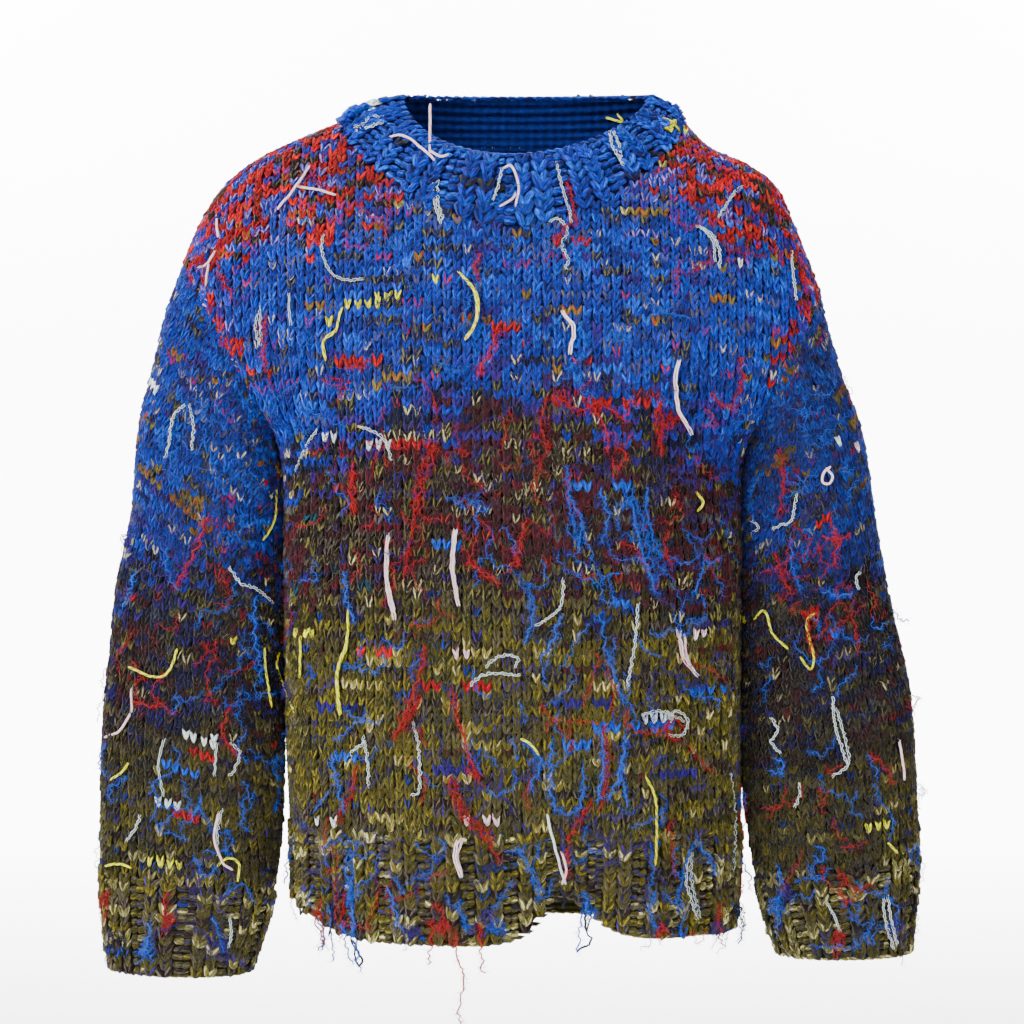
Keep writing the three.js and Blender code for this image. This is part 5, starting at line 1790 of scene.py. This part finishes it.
def yarn_piece(name, strands):
    """strands: (kind, colour, rays). Makes the yarn and, for mohair, its hairs."""
    tubes, roots = Tubes(), []
    for kind, colour, rays in strands:
        facts = KINDS_OF_YARN[kind]
        hidden = kind == "hidden"
        lift, slack = (-HIDDEN_DEPTH, 0) if hidden else (facts["radius"], rng.uniform(*SLACK))
        path = laid(rays, lift, slack)
        if path is None:
            continue
        path = waved(path, facts["wave"], facts["pitch"])
        light = rng.uniform(0.85, 1.15)
        shade, marl = TINTS[colour] * light, TINTS[MARL_OF[colour]] * light
        tubes.add(path, facts["radius"], facts["sides"], shade, marl)
        if kind in STRANDS_APART:
            aside = unit(np.cross(np.gradient(path, axis=0), [0.1, 1, 0]))
            beside = waved(path + aside * STRANDS_APART[kind], facts["wave"], facts["pitch"] * BESIDE_PITCH)
            tubes.add(beside, facts["radius"], facts["sides"], marl, shade)
        if kind in HAIRS_PER_MM:
            place, out, length = hair_roots(path, HAIRS_PER_MM[kind], HAIR_LENGTHS[kind])
            roots.append((place, out, length, np.tile(shade, (len(place), 1))))
    made = {name: tubes.build(name, YARN)}
    if roots:
        parts = [np.concatenate(part) for part in zip(*roots)]
        made[name + "_hair"] = hairs(name + "_hair", HAIR_RADIUS, *parts)
    return made


def strands_of(colour, charted):
    """The charted strands of a colour and those on its solids, as rays."""
    found = []
    for kind, lines in charted:
        step = FINE_STEP if kind == "boucle" else STRAND_STEP
        found += [(kind, colour, pixel_rays(smooth_line(line, step))) for line in lines]
    for kind, lines in OUTLINE_ENDS.get(colour, []):
        found += [(kind, colour, pixel_rays(smooth_line(line, STRAND_STEP))) for line in lines]
    for kind, lines in BACK_ENDS.get(colour, []):
        found += [(kind, colour, level_rays(smooth_line(line, STRAND_STEP), -1)) for line in lines]
    for own, face, row, ends in SOLID_ENDS.values():
        if own != colour:
            continue
        for kind, line in [(KIND_OF[colour], line) for line in ends] + [("hidden", row)]:
            found.append((kind, colour, level_rays(smooth_line(line, STRAND_STEP), face)))
    return found


print("kinds of yarn:", ", ".join(KINDS_OF_YARN))

# %% [markdown]
# ## Wisps, tangles and loose fibres
# Mohair sheds wisps over the cloth, dark tangles hang over its edges, and short fibres stand off it.
# Blender's own hair would do, but it isn't a mesh, and charting thousands of fibres would tell nothing.
# So they are drawn at random, the wisps inside areas that were placed by eye.

# %% Wisps and fibres
# So they are drawn at random, the wisps inside listed areas.
WISPS = [
    (300, 200, 110, 50, 14, "red"), (720, 210, 90, 60, 12, "red"), (240, 420, 90, 120, 22, "azure"),
    (500, 300, 200, 90, 22, "azure"), (500, 420, 200, 50, 20, "red"), (560, 520, 180, 60, 20, "azure"),
    (500, 500, 210, 80, 14, "red"), (480, 680, 190, 70, 16, "azure"), (520, 700, 200, 90, 14, "red"),
    (500, 870, 190, 40, 20, "azure"), (400, 820, 110, 60, 18, "purple"),
    (640, 850, 90, 60, 16, "purple"), (500, 340, 190, 60, 14, "purple"),
    (690, 580, 45, 150, 18, "purple"), (360, 880, 70, 50, 14, "red"), (180, 620, 55, 50, 10, "red"),
    (190, 760, 60, 90, 14, "azure"), (180, 900, 60, 45, 12, "purple"), (250, 700, 22, 180, 16, "azure"),
    (190, 500, 50, 70, 10, "purple"), (500, 470, 200, 80, 24, "purple"), (420, 560, 120, 60, 12, "red"),
    (620, 620, 110, 90, 14, "azure"), (300, 560, 20, 120, 10, "azure"), (700, 480, 40, 120, 12, "azure"),
    (480, 800, 190, 60, 12, "azure"), (560, 760, 170, 100, 14, "purple"),
    (830, 440, 50, 120, 20, "azure"), (820, 560, 70, 50, 14, "red"), (830, 700, 75, 90, 16, "azure"),
    (840, 820, 60, 80, 12, "red"), (840, 900, 60, 45, 14, "azure"), (830, 600, 70, 60, 10, "purple"),
]
WISPS_BACK = [
    (0, -180, 170, 80, 22, "azure"), (0, -330, 170, 80, 18, "red"), (0, -500, 170, 90, 16, "azure"),
    (0, -620, 160, 50, 10, "purple"), (-290, -420, 40, 200, 12, "azure"),
    (290, -420, 40, 200, 12, "red"),
]
# Small dark tangles hang over the edges of the hem, the cuffs and the sleeves
TANGLES = [
    (342, 944, "purple"), (356, 956, "ink"), (322, 934, "red"), (330, 946, "ink"), (412, 930, "purple"),
    (440, 926, "red"), (486, 916, "purple"), (496, 926, "azure"), (590, 912, "azure"), (660, 930, "red"),
    (716, 930, "purple"), (738, 912, "ink"), (744, 884, "azure"), (118, 936, "ink"), (146, 946, "azure"),
    (168, 918, "red"), (222, 944, "purple"), (106, 618, "purple"), (108, 632, "ink"), (104, 900, "red"),
    (786, 892, "purple"), (776, 908, "azure"), (838, 936, "red"), (896, 926, "purple"),
    (916, 640, "ink"), (912, 700, "red"), (920, 790, "purple"), (914, 850, "azure"), (164, 440, "azure"),
    (128, 540, "purple"), (286, 690, "purple"), (276, 760, "azure"), (740, 800, "azure"),
    (742, 730, "purple"), (200, 262, "red"),
]
TANGLE_TURNS = 4
TANGLE_SIZE = 9
TANGLE_ANGLES = (1.4, 2.6)
TANGLE_SPREAD = (0.3, 1)
TANGLE_STRANDS = 3
WISP_STEPS = (2, 5)
WISP_STEP = (8, 20)
WISP_HEADING = 0.7
WISP_BEND = 0.9


def wisp_line(x, y, half_x, half_y, down):
    start = np.array([x + rng.uniform(-1, 1) * half_x, y + rng.uniform(-1, 1) * half_y])
    heading = rng.normal(0, WISP_HEADING)
    steps = [start]
    for _ in range(rng.integers(*WISP_STEPS)):
        way = np.array([np.sin(heading), down * np.cos(heading)])
        steps.append(steps[-1] + way * rng.uniform(*WISP_STEP))
        heading += rng.normal(0, WISP_BEND)
    return steps


def tangle_line(x, y):
    """A strand that winds round one place a few times and then hangs down."""
    turn = rng.uniform(0, 2 * np.pi)
    steps = []
    for _ in range(TANGLE_TURNS):
        turn += rng.uniform(*TANGLE_ANGLES)
        away = rng.uniform(*TANGLE_SPREAD, 2) * TANGLE_SIZE
        steps.append(np.array([x, y]) + away * [np.cos(turn), np.sin(turn)])
    return steps + [steps[-1] + [rng.normal(0, 4), rng.uniform(*WISP_STEP)]]


def all_on_cloth(rays):
    away = [CLOTH.ray_cast(origin, ray)[3] for origin, ray in rays]
    return None not in away and max(away) - min(away) < SAME_CLOTH


def wisps(colour):
    found = []
    for x, y, half_x, half_y, count, own in WISPS:
        lines = [wisp_line(x, y, half_x, half_y, 1) for _ in range(count)] if own == colour else []
        laid_out = [pixel_rays(smooth_line(line, STRAND_STEP)) for line in lines]
        found += [("wisp", colour, rays) for rays in laid_out if all_on_cloth(rays)]
    for x, y, own in TANGLES:
        lines = [tangle_line(x, y) for _ in range(TANGLE_STRANDS)] if own == colour else []
        found += [("wisp", colour, pixel_rays(smooth_line(line, STRAND_STEP))) for line in lines]
    for x, z, half_x, half_z, count, own in WISPS_BACK:
        lines = [wisp_line(x, z, half_x, half_z, -1) for _ in range(count)] if own == colour else []
        laid_out = [level_rays(smooth_line(line, STRAND_STEP), -1) for line in lines]
        found += [("wisp", colour, rays) for rays in laid_out if all_on_cloth(rays)]
    return found


HALO = {"front": 2200, "back": 1800, "sleeve_left": 1300, "sleeve_right": 1300, "hem_rib_front": 350,
        "hem_rib_back": 250, "cuff_left": 250, "cuff_right": 250, "neckband": 600}
HALO_RADIUS = 0.09
HALO_LENGTHS = (3, 7)
HALO_LEAN = 0.75
HALO_OFF = 2
HALO_SPREAD = 2
# Painted highlight: the loose fibres are made lighter than the stitch they come from
HALO_LIGHT = 1.3


def halo():
    """Short loose fibres that stand off the whole surface, in the colour of the stitch they come from,
    lightened as a painted highlight.
    """
    place, out, shade = [], [], []
    for name, count in HALO.items():
        stitches = STITCHES[name]
        chosen = rng.integers(0, len(stitches["point"]), count)
        point, away = stitches["point"], stitches["out"][chosen]
        colours, _ = yarn_colours(ZONE_OF[name], point[:, 0], point[:, 2], stitches["row"])
        out.append(unit(away + rng.normal(0, HALO_LEAN, (count, 3))))
        place.append(point[chosen] + away * HALO_OFF + rng.normal(0, HALO_SPREAD, (count, 3)))
        shade.append(colours[chosen] * HALO_LIGHT * PAINTED_SLEEVE_SHADE.get(name, 1))
    place, out, shade = (np.concatenate(parts) for parts in (place, out, shade))
    length = rng.uniform(*HALO_LENGTHS, len(place))
    return hairs("halo", HALO_RADIUS, place, out, length, shade)


yarns = {}
for name, charted in (("yellow", YELLOW), ("pink", PINK), ("white", WHITE)):
    yarns.update(yarn_piece(name + "_ends", strands_of(name, charted)))
yarns.update(yarn_piece("red_ends", strands_of("red", RED) + wisps("red")))
blue_strands = strands_of("azure", BLUE) + strands_of("ink", INK) + strands_of("purple", [])
yarns.update(yarn_piece("blue_ends", blue_strands + wisps("azure") + wisps("purple") + wisps("ink")))
yarns["halo"] = halo()
print("yarn pieces:", {name: len(piece.data.polygons) for name, piece in yarns.items()})

# %% [markdown]
# ## The cloth under the stitches
# Between real stitches one sees the yarn behind them, and never through the cloth.
# Full loops would close the gaps, but a thin closed shell does it with far fewer faces.
# It keeps the form of its solid and is thinner, so that the stitches stand on it. Its colour is darkened as
# painted shade, for the shade behind and between the stitches.

# %% Backing shells
THIN = 0.75
PAINTED_INSIDE_SHADE = 0.55
BLEND_MEANS = {
    name: np.average([TINTS[main] for _, main, _ in blend], axis=0, weights=[share for share, _, _ in blend])
    for name, blend in BLENDS.items()
}


def backing(name):
    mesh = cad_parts[name].data.copy()
    mesh.name = name + "_cloth"
    outwards = [vertex.normal.copy() for vertex in mesh.vertices]
    for vertex, normal in zip(mesh.vertices, outwards):
        vertex.co -= normal * THIN * MM
    points = np.array([vertex.co for vertex in mesh.vertices]) / MM
    zone = ZONE_OF[name](points[:, 0], points[:, 2], np.zeros(len(points)))
    # Painted shade: the zone's mean colour is darkened for the shade behind the stitches, and more on the
    # sleeves
    shade = np.array([BLEND_MEANS[key] for key in zone]) * PAINTED_INSIDE_SHADE * PAINTED_SLEEVE_SHADE.get(name, 1)
    write_attribute(mesh, "shade", "FLOAT_COLOR", shade)
    mesh.materials.clear()
    mesh.materials.append(INSIDE)
    return put(name + "_cloth", mesh)


shells = {name: backing(name) for name in CLOTH_NODES}
print("shells:", len(shells))

# %% [markdown]
# ## Camera
# The camera stands 2.4 m in front, level with the chest.
# A nearer one with a wider lens would make the sleeves and the hem bulge.
# The lens follows from the scale, so that a pixel is 0.88 mm on the middle plane.

# %% Camera
SENSOR = 36
PICTURE_SIZE = 1024
camera_data = bpy.data.cameras.new("camera")
camera = put("camera", camera_data)
camera_data.sensor_width = SENSOR
camera_data.lens = SENSOR * CAMERA_AWAY / (PICTURE_SIZE * PIXEL)
camera.location = EYE * MM
camera.rotation_euler = (np.pi / 2, 0, 0)
bpy.context.scene.camera = camera
print("lens:", round(camera_data.lens, 1), "mm")

# %% [markdown]
# ## Floor
# A picture of this kind is taken before a sweep of pale paper that has no visible corner.
# A plane would end at a horizon, and a box would show its corners from behind.
# So the floor is a wide dish, and its rim curves up into a wall on every side.

# %% Floor
FLOOR_LEVEL = -0.95
WALL_BEND = 0.9
WALL_AWAY = 3.2
WALL_TOP = 4.0
DISH_SIDES = 96


def dish():
    """A pale round floor whose rim curves up into a wall."""
    profile = [(0.05, FLOOR_LEVEL)]
    for angle in np.linspace(0, np.pi / 2, 12):
        profile.append((WALL_AWAY + WALL_BEND * np.sin(angle), FLOOR_LEVEL + WALL_BEND * (1 - np.cos(angle))))
    profile.append((WALL_AWAY + WALL_BEND, WALL_TOP))
    vertices, faces = [], [tuple(range(DISH_SIDES))]
    for i, (radius, z) in enumerate(profile):
        for side in range(DISH_SIDES):
            turn = 2 * np.pi * side / DISH_SIDES
            vertices.append((radius * np.cos(turn), radius * np.sin(turn), z))
            if i:
                a, b = (i - 1) * DISH_SIDES + side, (i - 1) * DISH_SIDES + (side + 1) % DISH_SIDES
                faces.append((b, a, a + DISH_SIDES, b + DISH_SIDES))
    mesh = bpy.data.meshes.new("floor")
    mesh.from_pydata(vertices, [], faces, shade_flat=False)
    material, _, shader = new_material("pale_floor")
    shader.inputs["Base Color"].default_value = (0.9, 0.9, 0.9, 1)
    shader.inputs["Roughness"].default_value = 0.8
    mesh.materials.append(material)
    return put("floor", mesh)


floor = dish()
print("floor:", len(floor.data.polygons), "faces")

# %% [markdown]
# ## Light
# A large soft light from the left and weak ones above leave the right sleeve darker.
# A picture of surroundings could light it all, but single lamps can be weighed one by one.
# Two more lamps light the wall behind the sweater until it is nearly white.

# %% Light
# Name, place, target, size and power
LAMPS = [
    ("key", (-1.45, -1.7, 0.95), (0, 0, -0.35), 1.1, 92),
    ("fill", (-0.4, -2.4, 1.7), (0, 0, -0.5), 1.6, 22),
    ("top", (-0.3, 0.2, 2.2), (0, 0, -0.2), 2.0, 26),
    ("wall_left", (-1.6, 2.5, 1.6), (0, 4.1, -0.2), 1.2, 480),
    ("wall_right", (1.6, 2.5, 1.6), (0, 4.1, -0.2), 1.2, 480),
]
SKY = 0.26


def soft_light(name, place, target, size, power):
    data = bpy.data.lights.new(name, "AREA")
    data.shape = "SQUARE"
    data.size = size
    data.energy = power
    light = put(name, data)
    light.location = place
    light.rotation_euler = (Vector(target) - Vector(place)).to_track_quat("-Z", "Y").to_euler()


for lamp in LAMPS:
    soft_light(*lamp)
world = bpy.data.worlds.new("studio")
world.use_nodes = True
world.node_tree.nodes["Background"].inputs["Color"].default_value = (1, 1, 1, 1)
world.node_tree.nodes["Background"].inputs["Strength"].default_value = SKY
bpy.context.scene.world = world
print("lamps:", ", ".join(lamp[0] for lamp in LAMPS))

# %% [markdown]
# ## Handing over
# The shapes that were copied are removed, and every piece hangs from the root.
# The solids that the shells and the yarn ends stand in for are hidden.

# %% Hand over
for thing in (KNIT, PURL, HAIR_ONE, HAIR_TWO):
    bpy.data.objects.remove(thing)
for name, piece in [*shells.items(), *pieces.items(), *yarns.items()]:
    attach(piece, "root")
for name, shell in shells.items():
    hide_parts(name)
REPLACED = {"yellow": "yellow_ends", "pink": "pink_ends", "white": "white_ends", "red": "red_ends",
            "azure": "blue_ends"}
for colour, name in REPLACED.items():
    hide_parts(*[node for node, (own, _, _, _) in SOLID_ENDS.items() if own == colour])
